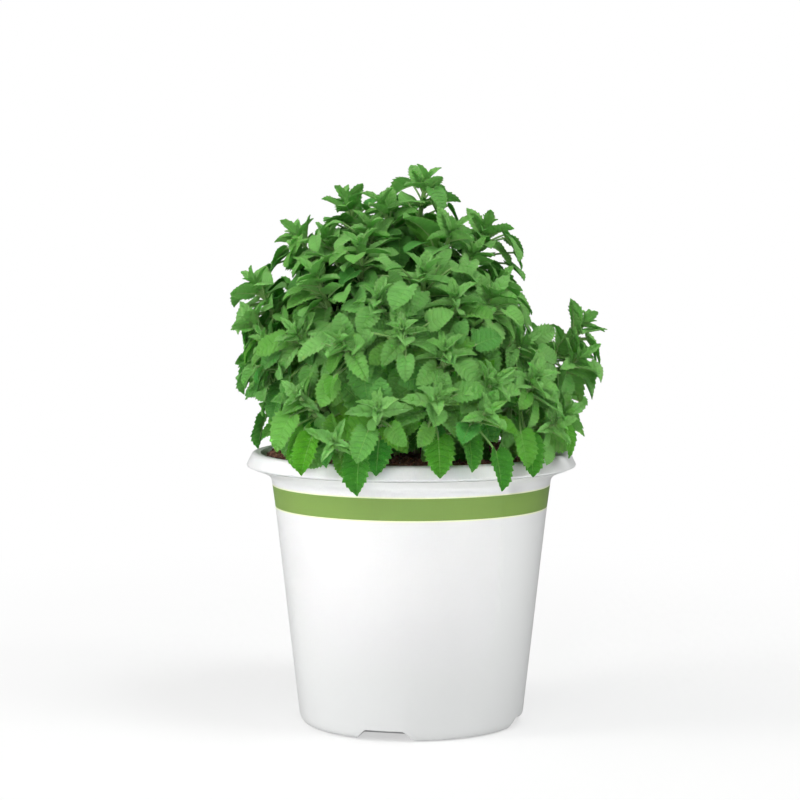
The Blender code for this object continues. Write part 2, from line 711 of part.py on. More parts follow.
def shoot_object(name, shoot, collection):
    """A square-sided tapered stem, as this plant has, made from a curve and closed at both ends."""
    curve = bpy.data.curves.new(name, "CURVE")
    curve.dimensions = "3D"
    curve.bevel_depth = 1.0
    curve.bevel_resolution = 0
    curve.use_fill_caps = True
    curve.twist_mode = "MINIMUM"
    spline = curve.splines.new("POLY")
    spline.points.add(len(shoot["points"]) - 1)
    for point, place, radius in zip(spline.points, shoot["points"], shoot_radii(shoot)):
        point.co = (*place, 1.0)
        point.radius = radius
    drawn = bpy.data.objects.new(name + "_curve", curve)
    bpy.context.scene.collection.objects.link(drawn)
    bpy.context.view_layer.update()
    mesh = bpy.data.meshes.new_from_object(drawn.evaluated_get(bpy.context.evaluated_depsgraph_get()))
    bpy.data.objects.remove(drawn)
    shape = bmesh.new()
    shape.from_mesh(mesh)
    bmesh.ops.remove_doubles(shape, verts=shape.verts, dist=0.00001)
    bmesh.ops.recalc_face_normals(shape, faces=shape.faces)
    shape.to_mesh(mesh)
    shape.free()
    obj = bpy.data.objects.new(name, mesh)
    collection.objects.link(obj)
    return obj


def build_stem(name, shoots, poses, parts, repeats, material):
    """One stem with its side shoots and leaves, joined into one solid."""
    own = [shoot for shoot in shoots if shoot["stem"] == name]
    stem = shoot_object(name, own[0], parts)
    for number, shoot in enumerate(own[1:]):
        shoot_object(f"{name}_shoot_{number}", shoot, repeats)
    for number, shoot in enumerate(own):
        mesh_object(f"{name}_bud_{number}", *bud_solid(shoot), repeats)
    for number, pose in enumerate(pose for pose in poses if pose["stem"] == name):
        mesh_object(f"{name}_leaf_{number}", *leaf_solid(pose), repeats)
    boolean(stem, "UNION", repeats)
    remove_all(repeats.objects)
    stem.data.materials.clear()
    stem.data.materials.append(material)
    return stem


def new_collection(name):
    collection = bpy.data.collections.new(name)
    bpy.context.scene.collection.children.link(collection)
    return collection


def main():
    remove_all(bpy.data.objects)
    parts = new_collection("potted_catnip")
    cutters = new_collection("cutters")
    repeats = new_collection("leaves_and_shoots")
    shoots = grow_shoots()
    poses = grow_leaves(shoots)
    build_pot(parts, cutters)
    build_soil(parts, cutters, [(x * MM, y * MM) for _, (x, y), _, _ in STEMS])
    green = finish("leaf_green", (0.075, 0.245, 0.05), 0.6)
    for name, _, _, _ in STEMS:
        build_stem(name, shoots, poses, parts, repeats, green)


main()
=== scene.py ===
"""A young catnip plant in a round nursery pot, dressed for the studio.

Run as a script, it builds the pot, the potting mix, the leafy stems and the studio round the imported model.
Everything is in metres, +Z up, with the front of the pot towards -Y.
"""

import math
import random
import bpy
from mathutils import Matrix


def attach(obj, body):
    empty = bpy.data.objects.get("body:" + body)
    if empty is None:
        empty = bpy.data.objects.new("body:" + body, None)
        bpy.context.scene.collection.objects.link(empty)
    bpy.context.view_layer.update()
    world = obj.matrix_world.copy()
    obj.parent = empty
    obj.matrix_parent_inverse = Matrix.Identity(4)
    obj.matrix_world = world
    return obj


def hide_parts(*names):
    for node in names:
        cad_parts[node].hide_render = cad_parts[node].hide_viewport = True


bl_info = {
    "name": "Potted Catnip",
    "version": (1, 0, 0),
    "blender": (4, 5, 0),
    "location": "3D View > Sidebar > Catnip",
    "description": "Builds a young catnip plant in a white nursery pot, with its potting mix and a studio",
    "category": "Object",
}

from itertools import combinations

import bpy
import numpy as np
from mathutils import Euler, Matrix, Vector, noise
from mathutils.bvhtree import BVHTree
from mathutils.geometry import interpolate_bezier

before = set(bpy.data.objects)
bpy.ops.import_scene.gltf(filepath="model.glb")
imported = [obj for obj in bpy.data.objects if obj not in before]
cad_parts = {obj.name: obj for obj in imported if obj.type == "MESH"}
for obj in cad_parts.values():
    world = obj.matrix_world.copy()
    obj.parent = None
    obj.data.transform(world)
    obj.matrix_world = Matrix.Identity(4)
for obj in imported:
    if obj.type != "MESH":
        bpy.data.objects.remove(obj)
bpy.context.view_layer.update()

MM = 0.001
UP = Vector((0, 0, 1))

# The pot's turned outline, in mm: up the outer side, over the rim and down inside
WALL_OUTSIDE_MM = (
    (36.6, 0.0), (37.3, 0.15), (37.9, 0.5), (38.35, 1.1), (38.75, 2.0), (39.05, 3.2), (42.1, 30.0),
    (45.1, 57.0), (47.2, 75.2), (48.2, 82.6), (48.4, 84.0), (48.7, 85.0), (49.4, 85.9), (50.6, 86.7),
    (52.6, 87.6), (55.0, 88.45), (55.3, 88.65), (54.8, 88.85), (54.9, 89.2), (56.4, 89.05),
    (56.85, 89.25), (57.0, 89.65), (56.85, 90.1), (56.1, 91.6), (55.5, 92.9), (55.2, 93.4),
    (54.8, 93.75), (54.3, 93.95), (53.8, 94.0), (53.2, 93.95), (52.6, 93.8),
)
CAVITY_MM = (
    (36.6, 1.6), (37.2, 1.75), (37.6, 2.3), (40.8, 30.0), (43.8, 57.0), (46.0, 75.2), (48.0, 84.6),
    (49.4, 88.4), (50.7, 91.0), (51.6, 92.7), (52.2, 93.7), (52.6, 94.05), (53.0, 97.0),
)
WALL = 1.3 * MM
# How much the wall leans out, which tells its outside from its inside
WALL_SLOPE = 0.115
POT_CREASE_DEG = 32

# The drain arches, cut up into the foot of the wall, and the drain hole behind each
ARCH_TURNS_DEG = (-104.0, -14.0, 76.0, 166.0)
ARCH_HEIGHT = 3.5 * MM
ARCH_WIDTH_LOW = 20.4 * MM
ARCH_WIDTH_HIGH = 13.4 * MM
ARCH_INNER_RADIUS = 25.5 * MM
ARCH_OUTER_RADIUS = 60 * MM
ARCH_LOWEST = -5 * MM
ARCH_ROUNDING = 0.7 * MM
DRAIN_RADIUS = 3.0 * MM
DRAIN_DEPTH = 4 * MM
DRAIN_PLACE = 31.0 * MM

# The potting mix
FIT_GAP = 0.35 * MM
SOIL_TOP = 91.2 * MM
SOIL_EDGE_MM = (
    (36.9, 1.95), (37.2, 2.6), (40.4, 30.0), (43.4, 57.0), (45.6, 75.2), (47.6, 84.6), (49.2, 88.9),
)
SOIL_TOP_RADIUS = 50.2 * MM
# The mix's top: how far it stands over the coarse solid's, and how high its lumps and its edge are
MIX_RISE = 1.8 * MM
LUMP_HEIGHT_MM = 1.3
EDGE_RISE = 0.2 * MM
MIX_CREASE_DEG = 70
# Its lumps, from broad to fine: how many to a metre, where their pattern starts, and their share
MIX_LUMPS = ((90, (0, 0, 0), 0.55), (240, (3, 1, 0), 0.38), (700, (0, 7, 2), 0.20))
# What lies on it, in mm: how large each kind is, and how thick a fibre is
CRUMB_MM = (0.28, 0.95)
BIG_CRUMB_SHARE = 0.12
BIG_CRUMB = 1.5
CHIP_MM = (0.8, 1.9)
FIBRE_MM = (1.6, 6.0)
FIBRE_RADIUS_MM = (0.06, 0.16)
FIBRE_TAPER = (0.4, 1, 1.1, 0.9, 0.4)
GRAIN_MM = (0.35, 0.85)
SCATTER_RADIUS = SOIL_TOP_RADIUS * 0.985
PERLITE_GREY = (0.62, 0.60, 0.56)
PERLITE_WHITE = (0.86, 0.85, 0.82)

# The stems' feet in the mix, and how a stem or a side shoot bends on its way to its tip
HOLE_DEPTH = 8.0 * MM
FOOT_HANDLE, FORK_HANDLE, TIP_HANDLE = 0.34, 0.33, 0.36
BOWS_MM = (0, 3, -3, 6, -6, 9, -9, 12, -12)
STEMS_APART = 3.4 * MM
STEM_FOOT_RADIUS = 1.35 * MM
STEM_TIP_RADIUS = 0.75 * MM
SHOOT_FORK_RADIUS = 0.95 * MM
SHOOT_TIP_RADIUS = 0.65 * MM

# Each stem: its name, its foot on the mix and its tip, both in mm, and how many pairs of leaves it has
STEMS = (
    ("stem_crown", (2, 0), (5, -4, 187), 6),
    ("stem_crown_left", (-8, 5), (-22.5, 5, 180.5), 5),
    ("stem_right_shoulder", (10, 5), (26, 4, 171.5), 5),
    ("stem_far_left", (-20, 4), (-54, 2, 152), 5),
    ("stem_left_low", (-24, -8), (-49, -18, 132), 4),
    ("stem_front_left", (-13, -7), (-32, -26, 155), 5),
    ("stem_front_upper", (-5, -13), (-11, -44, 148), 5),
    ("stem_front_centre", (5, -11), (4, -36, 156), 5),
    ("stem_front_right", (14, -7), (27, -27, 148), 5),
    ("stem_front_right_low", (11, -21), (10.5, -54, 131), 4),
    ("stem_far_right", (25, -3), (59, -4, 138), 5),
    ("stem_right_low", (25, -16), (41, -42, 122), 4),
    ("stem_rim_centre", (4, -31), (8, -58, 116), 3),
    ("stem_rim_left_centre", (-9, -30), (-11, -59, 113), 3),
    ("stem_rim_left", (-23, -22), (-37, -44, 116), 3),
    ("stem_rim_right", (34, -8), (52, -17, 108), 3),
    ("stem_back_crown", (0, 12), (0, 20, 176), 5),
    ("stem_back_upper", (-9, 20), (-16, 40, 160), 5),
    ("stem_back_right", (11, 19), (20, 36, 156), 5),
    ("stem_back_left", (-22, 15), (-42, 30, 148), 5),
    ("stem_back_far_right", (24, 13), (46, 27, 131), 4),
    ("stem_back_low", (1, 32), (3, 58, 124), 3),
    ("stem_back_left_low", (-18, 28), (-34, 48, 122), 3),
    ("stem_back_right_low", (19, 27), (32, 50, 120), 3),
)

# Each side shoot: the stem that it springs from, how far up that stem, its tip in mm, and its leaf pairs
SIDE_SHOOTS = (
    ("stem_crown", 0.62, (14, -17, 170), 3),
    ("stem_crown", 0.66, (-10, -9, 179), 3),
    ("stem_crown_left", 0.55, (-39, 7, 168), 3),
    ("stem_crown_left", 0.66, (-14, -12, 171), 2),
    ("stem_crown_left", 0.50, (-29, -4, 168), 3),
    ("stem_right_shoulder", 0.60, (30, -9, 153), 3),
    ("stem_right_shoulder", 0.50, (21, -13, 162), 2),
    ("stem_far_left", 0.60, (-54, -10, 140), 2),
    ("stem_far_left", 0.45, (-53, 12, 128), 2),
    ("stem_left_low", 0.50, (-50, -12, 120), 2),
    ("stem_front_left", 0.62, (-17, -25, 165), 2),
    ("stem_front_left", 0.50, (-38, -32, 136), 2),
    ("stem_front_upper", 0.55, (-23, -50, 134), 2),
    ("stem_front_centre", 0.55, (-3, -52, 138), 2),
    ("stem_front_right", 0.60, (14, -42, 148), 2),
    ("stem_front_right", 0.55, (37, -25, 132), 2),
    ("stem_front_right_low", 0.50, (26, -54, 121), 2),
    ("stem_far_right", 0.66, (57, -14, 127), 2),
    ("stem_far_right", 0.55, (54, 8, 130), 2),
    ("stem_right_low", 0.50, (48, -36, 106), 2),
    ("stem_rim_centre", 0.40, (24, -59, 112), 2),
    ("stem_rim_left", 0.40, (-25, -57, 102), 2),
    ("stem_back_crown", 0.60, (-20, 24, 164), 2),
    ("stem_back_upper", 0.55, (-2, 50, 142), 2),
    ("stem_back_right", 0.55, (34, 38, 136), 2),
    ("stem_back_left", 0.50, (-52, 26, 124), 2),
    ("stem_back_far_right", 0.50, (56, 20, 114), 2),
    ("stem_back_low", 0.40, (-14, 58, 108), 2),
    ("stem_back_left_low", 0.40, (-46, 38, 104), 2),
    ("stem_back_right_low", 0.40, (44, 42, 104), 2),
)

# The pairs of a shoot's tip: size against the bud's, splay in degrees, rise in mm, whether turned across,
# and fineness
BUD_LENGTH = 8.0 * MM
BUD_SPLAY_DEG = 33
BUD_PAIRS = (
    (1.3, 76, -2.8, False, "tip"), (1.1, 33, 0.0, False, "tip"), (1.05, 54, -0.8, True, "tip"),
    (0.60, 22, 0.3, True, "tip"), (0.34, 8, 0.6, False, "tiny"),
)

# How a leaf changes from the shoot's tip down, pair by pair, below the bud
PAIR_FROM_TIP_MM = (4.6, 10.0, 17.0, 26.0, 36.5, 48.0, 60.0)
BLADE_LENGTH_MM = (11.5, 15.0, 17.5, 18.8, 19.0, 18.5, 17.5)
PETIOLE_MM = (2.6, 3.8, 5.4, 6.6, 7.2, 8.0, 8.5)
SPLAY_DEG = (46, 60, 70, 78, 80, 82, 84)
SAG = (0.1, 0.5, 0.9, 1.1, 1.2, 1.2, 1.2)
DROOP_DEG = (20, 27, 32, 34, 34, 34, 34)

# How far one leaf may differ from the rule, and how much further and smaller it gets with each try
LOOSE_AT_FIRST = 0.35
LOOSER_EACH_TRY = 0.06
SMALLER_EACH_TRY = 0.014
TURN_OFF = 0.7
SPLAY_OFF_DEG = (-22, 18)
SAG_OFF = 0.45
ROLL_DEG = (8, 42)
SIDE_SPACING = 0.92
BARE_FOOT = 7 * MM

# The leaves that hang over the pot's rim: where each one's tip is, in mm
HANGING_TIPS = (
    (-18, -60, 84.5), (29, -60, 85), (-31, -54, 88.5), (-1, -60, 90), (9, -60, 89.5), (40, -46, 89),
    (-38, -43, 91), (-24, 58, 87), (11, 61, 86), (42, 46, 89),
)
HANGING_LENGTH = 16.5 * MM
HANGING_DROOP_DEG = 14
HANGING_PAIR = 5

# The coarse blade that tests where a leaf has room
MARGINS = {
    "large": ((-0.07, 0.62), (0.14, 1.0), (0.34, 0.76), (0.48, 0.80), (0.70, 0.44)),
    "small": ((-0.05, 0.62), (0.20, 1.0), (0.56, 0.66)),
}
LARGE_FROM = 16.0 * MM
HALF_WIDTH_SHARE = {"large": 0.42, "small": 0.40}
RIB_THICKNESS = {"large": 1.0 * MM, "small": 0.8 * MM}
MID_RIB = 0.42
CUP_DEG = 14.0
PETIOLE_TWIST = 0.75
LEAST_TURN = 0.12
MOST_TWIST = 0.45
PETIOLE_HALF = 0.42 * MM
ROOT_HALF = 0.36 * MM
# The rib under an 18 mm blade: shares of the blade's length, and its radius there
RIB_SHARES = (0.12, 0.30, 0.52, 0.74)
RIB_RADII_MM = (0.30, 0.24, 0.17, 0.10)
# The joints of a stem: how much it swells there, and over what length
SWELLING = 0.28
SWELLING_LENGTH = 1.3 * MM
# How far from its tip a stem is old, and how far down it has hairs
OLD_FROM_TIP = 75 * MM
HAIRY_FROM_TIP = 45 * MM
# The dome that the foliage makes, and the shade inside it where no leaf pair grows
DOME_CENTRE = Vector((0, 0, 0.112))
SHADE_RADIUS = 17.0 * MM
SHADE_HEIGHT = 142.0 * MM
SEED = 7
TRIES = 26
CLEAR_GAP = 0.45 * MM
CLEAR_OF_STEM = 2.0 * MM
# The coarse pot, mix and stems that keep the leaves off the fine ones
POT_SIDES = 32
COARSE_RIM_MM = ((51.0, 88.6), (57.5, 88.6), (57.5, 92.6), (55.6, 94.4), (51.0, 94.4))
COARSE_WALL_MM = ((48.0, 60.0), (49.6, 60.0), (49.6, 86.0), (48.0, 86.0))
COARSE_TOP_MM = (2, 51)
QUARTER_TURNS = (0.0, 1.571, 3.142, 4.712)
COARSE_TOP = SOIL_TOP + 1.0 * MM

# The fine leaf's margin from the joint round the lobe to the tip: shares of its length and half width
LEAF_OUTLINE = (
    (0.0, 0.03), (-0.08, 0.34), (-0.06, 0.68), (0.07, 0.93), (0.31, 1.0), (0.57, 0.87), (0.81, 0.53),
    (1.0, 0.0),
)
FIRST_NOTCH = 0.11
TOOTH_FORWARD = 0.68
TOOTH_DEPTH = 0.076
BLADE_ASPECT = 0.41
FAN_SHARE = 0.30
VEINS_TO_MAP = 16
# Each fineness of leaf: its teeth on each side, and how far from the rib its inner columns are
LEAF_FORMS = {
    "grown": (13, (0.34, 0.69)),
    "middling": (12, (0.36, 0.70)),
    "slight": (12, (0.55,)),
    "tip": (7, (0.5,)),
    "tiny": (5, ()),
}
# How much each blade waves, as a share of its length, twists, and is more folded than its coarse form
WAVE_SHARE = (0.018, 0.050)
BLADE_TWIST = 0.25
DEEPER_CUP = (1.2, 2.4)
# A blade's full quilting is reached at this length
QUILTED_LENGTH = 16 * MM

# How the plant grows, as in the solids: shoots are curves, and leaves are poses that keep clear of them


def mm(x, y, z=0.0):
    """A point given in millimetres."""
    return Vector((x, y, z)) * MM


def curve_points(start, start_handle, end_handle, end, step=13 * MM):
    """Points along a smooth curve, about a step apart."""
    count = max(4, int((end - start).length / step) + 2)
    return interpolate_bezier(start, start_handle, end_handle, end, count)


def outward(point):
    """The level direction away from the pot's axis."""
    flat = Vector((point.x, point.y, 0))
    return flat.normalized() if flat.length > MM else Vector((0, -1, 0))


def tip_direction(tip):
    """Where a shoot's tip looks: up, and outwards the more the lower it is."""
    height = (tip.z - SOIL_TOP) / (100 * MM)
    lean = 0.75 * max(0.0, 1.15 - height) + 0.12
    return (UP + outward(tip) * lean).normalized()


def stem_curve(foot, tip, bow):
    """The curve of an upright stem, from its foot in the mix to its tip."""
    reach = (tip - foot).length
    sideways = UP.cross(outward(tip)) * bow
    straight = foot + UP * 2.5 * MM
    rising = straight + UP * reach * FOOT_HANDLE + sideways
    arriving = tip - tip_direction(tip) * reach * TIP_HANDLE + sideways
    return [foot - UP * (HOLE_DEPTH - FIT_GAP)] + curve_points(straight, rising, arriving, tip)


def shoot_curve(parent, share, tip, bow):
    """The curve of a side shoot, from its fork on the stem to its tip."""
    points = parent["points"]
    place = share * (len(points) - 1)
    before = int(place)
    fork = points[before].lerp(points[before + 1], place - before)
    along = (points[before + 1] - points[before]).normalized()
    reach = (tip - fork).length
    sideways = UP.cross(outward(tip)) * bow
    towards = (tip - fork).normalized()
    leaving = fork + (along + towards).normalized() * reach * FORK_HANDLE + sideways
    arriving = tip - tip_direction(tip) * reach * TIP_HANDLE + sideways
    return curve_points(fork, leaving, arriving, tip)


def nearest(points, others):
    """The least distance between the points of two curves, sampled more finely than they are stored."""
    a = dense(points)
    b = dense(others)
    return float(np.sqrt(((a[:, None] - b[None]) ** 2).sum(2)).min())


def dense(points):
    array = np.array(points)
    return np.concatenate([array, (array[1:] + array[:-1]) / 2, array[1:] * 0.25 + array[:-1] * 0.75])


def grow_shoots():
    """Every stem and side shoot, each bowed sideways just enough to pass the stems that stand already."""
    shoots = []
    stems = {}
    plans = [(name, None, mm(*foot, SOIL_TOP / MM), mm(*tip), pairs) for name, foot, tip, pairs in STEMS]
    plans += [(name, share, None, mm(*tip), pairs) for name, share, tip, pairs in SIDE_SHOOTS]
    for name, share, foot, tip, pairs in plans:
        best = None
        for bow in BOWS_MM:
            if share is None:
                points = stem_curve(foot, tip, bow * MM)
            else:
                points = shoot_curve(stems[name], share, tip, bow * MM)
            gaps = [nearest(points, other["points"]) for other in shoots if other["stem"] != name]
            gap = min(gaps, default=1.0)
            if best is None or gap > best[0]:
                best = (gap, points)
            if gap > STEMS_APART:
                break
        rng = random.Random(SEED * 500 + len(shoots))
        shoot = {
            "stem": name, "main": share is None, "points": best[1], "pairs": pairs,
            "turn": rng.uniform(-0.5, 0.5), "bud": BUD_LENGTH * rng.uniform(0.85, 1.15),
        }
        if share is None:
            stems[name] = shoot
        shoots.append(shoot)
    return shoots


def point_from_tip(points, distance):
    """The point of a shoot at a distance back from its tip, with the direction of growth there."""
    left = distance
    for near, far in zip(points[::-1], points[-2::-1]):
        span = (near - far).length
        if left <= span:
            return near.lerp(far, left / span), (near - far).normalized()
        left -= span
    return points[0].copy(), (points[1] - points[0]).normalized()


def shoot_length(shoot):
    return sum((b - a).length for a, b in zip(shoot["points"], shoot["points"][1:]))


def leaf_sites(shoots):
    """Every leaf that the shoots would carry, in opposite pairs, each a right angle round from the last."""
    sites = []
    for number, shoot in enumerate(shoots):
        rng = random.Random(SEED * 1000 + number)
        length = shoot_length(shoot)
        turn = shoot["turn"] + math.pi / 2
        vigour = rng.uniform(0.94, 1.08) if shoot["main"] else rng.uniform(0.86, 1.0)
        for pair in range(shoot["pairs"]):
            distance = PAIR_FROM_TIP_MM[pair] * MM * (1.0 if shoot["main"] else SIDE_SPACING)
            if distance > length - BARE_FOOT:
                break
            place, along = point_from_tip(shoot["points"], distance)
            if place.xy.length < SHADE_RADIUS and place.z < SHADE_HEIGHT:
                break
            for half in (0, 1):
                sites.append({
                    "stem": shoot["stem"], "shoot": number, "place": place, "along": along, "pair": pair,
                    "turn": turn + pair * math.pi / 2 + half * math.pi,
                    "length": BLADE_LENGTH_MM[pair] * MM * vigour * rng.uniform(0.92, 1.08),
                    "seed": rng.randrange(1 << 30),
                })
    sites.sort(key=lambda site: (-site["length"], site["seed"]))
    return sites


def dome_direction(place):
    """Where the light comes from for a leaf in this place of the dome that the foliage makes."""
    return (place - DOME_CENTRE).normalized()


def leaf_pose(site, attempt):
    """One way that a leaf could stand: its rib, its face turned to the light, and its curve."""
    rng = random.Random(site["seed"] + attempt)
    pair = site["pair"]
    loose = min(1.0, LOOSE_AT_FIRST + attempt * LOOSER_EACH_TRY)
    along = site["along"]
    away = dome_direction(site["place"])
    side = turned_side(along, site["turn"] + rng.uniform(-TURN_OFF, TURN_OFF) * loose)
    splay = math.radians(SPLAY_DEG[pair] + rng.uniform(*SPLAY_OFF_DEG) * loose)
    petiole = along * math.cos(splay) + side * math.sin(splay)
    sag = SAG[pair] + rng.uniform(-SAG_OFF, SAG_OFF) * loose
    forward = (petiole + away * 0.18 - UP * sag).normalized()
    light = away * rng.uniform(0.9, 1.4) + UP * 0.6
    roll = math.radians(math.copysign(rng.uniform(*ROLL_DEG), rng.random() - 0.5))
    normal = facing(forward, light, roll)
    petiole = twisted(petiole, forward, normal)
    joint = site["place"] + petiole * PETIOLE_MM[pair] * MM * rng.uniform(0.85, 1.25)
    length = site["length"] * (1.0 - SMALLER_EACH_TRY * attempt)
    return leaf(site, rng, petiole, joint, forward, normal, length, DROOP_DEG[pair])


def twisted(petiole, forward, normal):
    """The petiole's direction after it has twisted most of the way into line with the blade's rib."""
    across = forward.cross(normal)
    return (petiole - across * petiole.dot(across) * PETIOLE_TWIST).normalized()


def hanging_site(tip, shoots, length=HANGING_LENGTH):
    """A leaf that hangs over the rim: it springs from the shoot behind it that is nearest."""
    out = outward(tip)
    sideways = UP.cross(out)
    joint = tip - (out * 0.3 - UP).normalized() * length
    best = None
    for number, shoot in enumerate(shoots):
        for place in dense([point for point in shoot["points"] if point.z > SOIL_TOP + 5 * MM]):
            reach = joint - Vector(place)
            cost = reach.length + abs(reach.z) * 0.5 + abs(reach.dot(sideways)) * 1.5
            cost += max(0.0, 4 * MM - reach.dot(out)) * 4
            if best is None or cost < best[0]:
                best = (cost, number, Vector(place))
    _, number, place = best
    seed = SEED + round(tip.x * 7000 + tip.y * 3000)
    return {
        "stem": shoots[number]["stem"], "shoot": number, "place": place, "joint": joint, "seed": seed,
        "length": length,
    }


def hanging_pose(site, attempt):
    """One way that a leaf could hang over the rim, with its face outwards."""
    rng = random.Random(site["seed"] + attempt)
    joint = site["joint"] + Vector([rng.uniform(-0.3, 0.3) * attempt * MM for _ in range(3)])
    out = outward(joint)
    forward = (out * (0.42 + rng.uniform(-0.03, 0.03) * attempt) - UP).normalized()
    normal = facing(forward, out + UP * 0.3, math.radians(rng.uniform(-15, 15)))
    petiole = (joint - site["place"]).normalized()
    length = site["length"] * rng.uniform(0.95, 1.05)
    return leaf(site, rng, petiole, joint, forward, normal, length, HANGING_DROOP_DEG)


def facing(forward, light, roll):
    """A blade's normal: it looks at the light as far as the rib lets it, and is rolled round the rib."""
    normal = light - forward * light.dot(forward)
    if normal.length < 0.12:
        normal = UP - forward * UP.dot(forward)
    return Matrix.Rotation(roll, 3, forward) @ normal.normalized()


def leaf(site, rng, petiole, joint, forward, normal, length, droop_deg):
    """The pose of a leaf: where its petiole and blade are, and how large, bent and cupped the blade is."""
    kind = "large" if length > LARGE_FROM else "small"
    return {
        "stem": site["stem"], "shoot": site["shoot"], "seed": site["seed"], "kind": kind,
        "pair": site.get("pair", HANGING_PAIR), "hangs": "pair" not in site,
        "root": site["place"] - petiole * rng.uniform(0.05, 0.2) * MM, "petiole": petiole, "joint": joint,
        "forward": forward, "normal": normal, "side": forward.cross(normal), "length": length,
        "half": length * HALF_WIDTH_SHARE[kind] * rng.uniform(0.93, 1.07),
        "droop": math.radians(droop_deg + rng.uniform(-10, 10)),
        "cup": math.radians(CUP_DEG + rng.uniform(-5, 7)),
    }


def well_bent(pose):
    """Whether the petiole meets the blade from behind or below it, and not through one of its lobes."""
    turn = pose["petiole"].dot(pose["forward"])
    return turn > LEAST_TURN and abs(pose["petiole"].dot(pose["side"])) < MOST_TWIST


def turned_side(along, turn):
    """A direction square to a shoot, at this angle round it."""
    across = along.cross(UP)
    across = across.normalized() if across.length > 0.05 else along.orthogonal().normalized()
    return Matrix.Rotation(turn, 3, along) @ across


def blade_frame(pose, share):
    """The rib's point, direction and normal at a share of the blade's length."""
    bend = pose["droop"]
    angle = bend * max(share, 0.0)
    ahead = math.sin(angle) / bend if share > 0 else share
    below = (1 - math.cos(angle)) / bend
    point = pose["joint"] + (pose["forward"] * ahead - pose["normal"] * below) * pose["length"]
    normal = pose["normal"] * math.cos(angle) + pose["forward"] * math.sin(angle)
    return point, normal


def blade_point(pose, share, across, grow=0.0):
    """A point of the cupped blade, across from -1 to 1 in half widths, moved outwards by grow."""
    point, normal = blade_frame(pose, share)
    reach = abs(across) * pose["half"] + grow
    sideways = pose["side"] * math.copysign(math.cos(pose["cup"]) * reach, across)
    return point + sideways + normal * math.sin(pose["cup"]) * reach


def leaf_solid(pose, grow=0.0, start=0.0):
    """The coarse form of one leaf that its room is tested with, grown by a gap on every side."""
    points = []
    petiole, side = pose["petiole"], pose["side"]
    root_side = (side - petiole * side.dot(petiole)).normalized()
    rings = (
        (pose["root"] + petiole * start, root_side, root_side.cross(petiole), ROOT_HALF + grow),
        (pose["joint"], side, side.cross(petiole + pose["forward"]).normalized(), PETIOLE_HALF + grow),
    )
    for ring, aside, above, half in rings:
        points += [ring - aside * half, ring + aside * half, ring - above * half * 1.6]
    faces = [(2, 1, 0), (0, 1, 4, 3), (1, 2, 5, 4), (2, 0, 3, 5)]
    left, right, under = 3, 4, 5
    left_margin, right_margin = [left], [right]
    for share, width in MARGINS[pose["kind"]]:
        for sign, chain in ((-1, left_margin), (1, right_margin)):
            chain.append(len(points))
            points.append(blade_point(pose, share, sign * width, grow))
    tip, _ = blade_frame(pose, 1.0 + grow / pose["length"])
    points.append(tip)
    left_margin.append(len(points) - 1)
    right_margin.append(len(points) - 1)
    middle, normal = blade_frame(pose, MID_RIB)
    half_thick = RIB_THICKNESS[pose["kind"]] / 2 + grow
    top, bottom = len(points), len(points) + 1
    points += [middle + normal * half_thick, middle - normal * half_thick]
    faces += [(left, right, top), (under, bottom, right), (under, left, bottom)]
    for a, b in zip(right_margin, right_margin[1:]):
        faces += [(top, a, b), (bottom, b, a)]
    for a, b in zip(left_margin, left_margin[1:]):
        faces += [(top, b, a), (bottom, a, b)]
    return points, faces


def bud_frame(shoot):
    """A shoot's tip: its place, its direction of growth, and the side that its folded pair opens to."""
    tip = shoot["points"][-1]
    along = (tip - shoot["points"][-2]).normalized()
    return tip, along, turned_side(along, shoot["turn"])


def bud_solid(shoot, grow=0.0):
    """The coarse form of the folded youngest pair, that its room is tested with."""
    tip, along, side = bud_frame(shoot)
    across = along.cross(side)
    length = shoot["bud"] + grow
    splay = math.radians(BUD_SPLAY_DEG)
    points = []
    for sign in (1, -1):
        rib = along * math.cos(splay) + side * math.sin(splay) * sign
        inward = along * math.sin(splay) - side * math.cos(splay) * sign
        for share, width in ((0.38, -sign), (1.0, 0), (0.38, sign)):
            half = length * 0.27 + grow
            fold = inward * abs(width) * half * 0.3
            points.append(tip + rib * length * share + across * half * width + fold)
    points += [tip + along * (0.6 * MM + grow), tip - along * (2.4 * MM + grow)]
    faces = []
    for i in range(6):
        faces += [(6, i, (i + 1) % 6), (7, (i + 1) % 6, i)]
    return points, faces


class Thicket:
    """What stands already, so that nothing new crosses it."""

    def __init__(self):
        self.owners = []
        self.boxes = []
        self.trees = []

    def add(self, owner, points, faces):
        array = np.array(points)
        self.owners.append(owner)
        self.boxes.append(np.concatenate([array.min(0), -array.max(0)]))
        self.trees.append(BVHTree.FromPolygons(points, faces))

    def crossed(self, owner, solid, grown):
        """Whether a new solid meets one of its own stem's pieces, or its grown form meets any other."""
        array = np.array(grown[0])
        low, high = array.min(0), array.max(0)
        near = (np.array(self.boxes) <= np.concatenate([high, -low])).all(1)
        own_tree = BVHTree.FromPolygons(*solid)
        grown_tree = BVHTree.FromPolygons(*grown)
        for index in np.nonzero(near)[0]:
            tree = own_tree if self.owners[index] == owner else grown_tree
            if tree.overlap(self.trees[index]):
                return True
        return False


def lathe_faces(profile, sides):
    """Points and faces of a closed ring turned about Z, used only to keep leaves off the pot."""
    points, faces = [], []
    count = len(profile)
    for i in range(sides):
        angle = 2 * math.pi * i / sides
        points += [Vector((r * math.cos(angle), r * math.sin(angle), z)) for r, z in profile]
        for j in range(count):
            here, there = i * count, (i + 1) % sides * count
            faces.append((here + j, there + j, there + (j + 1) % count, here + (j + 1) % count))
    return points, faces


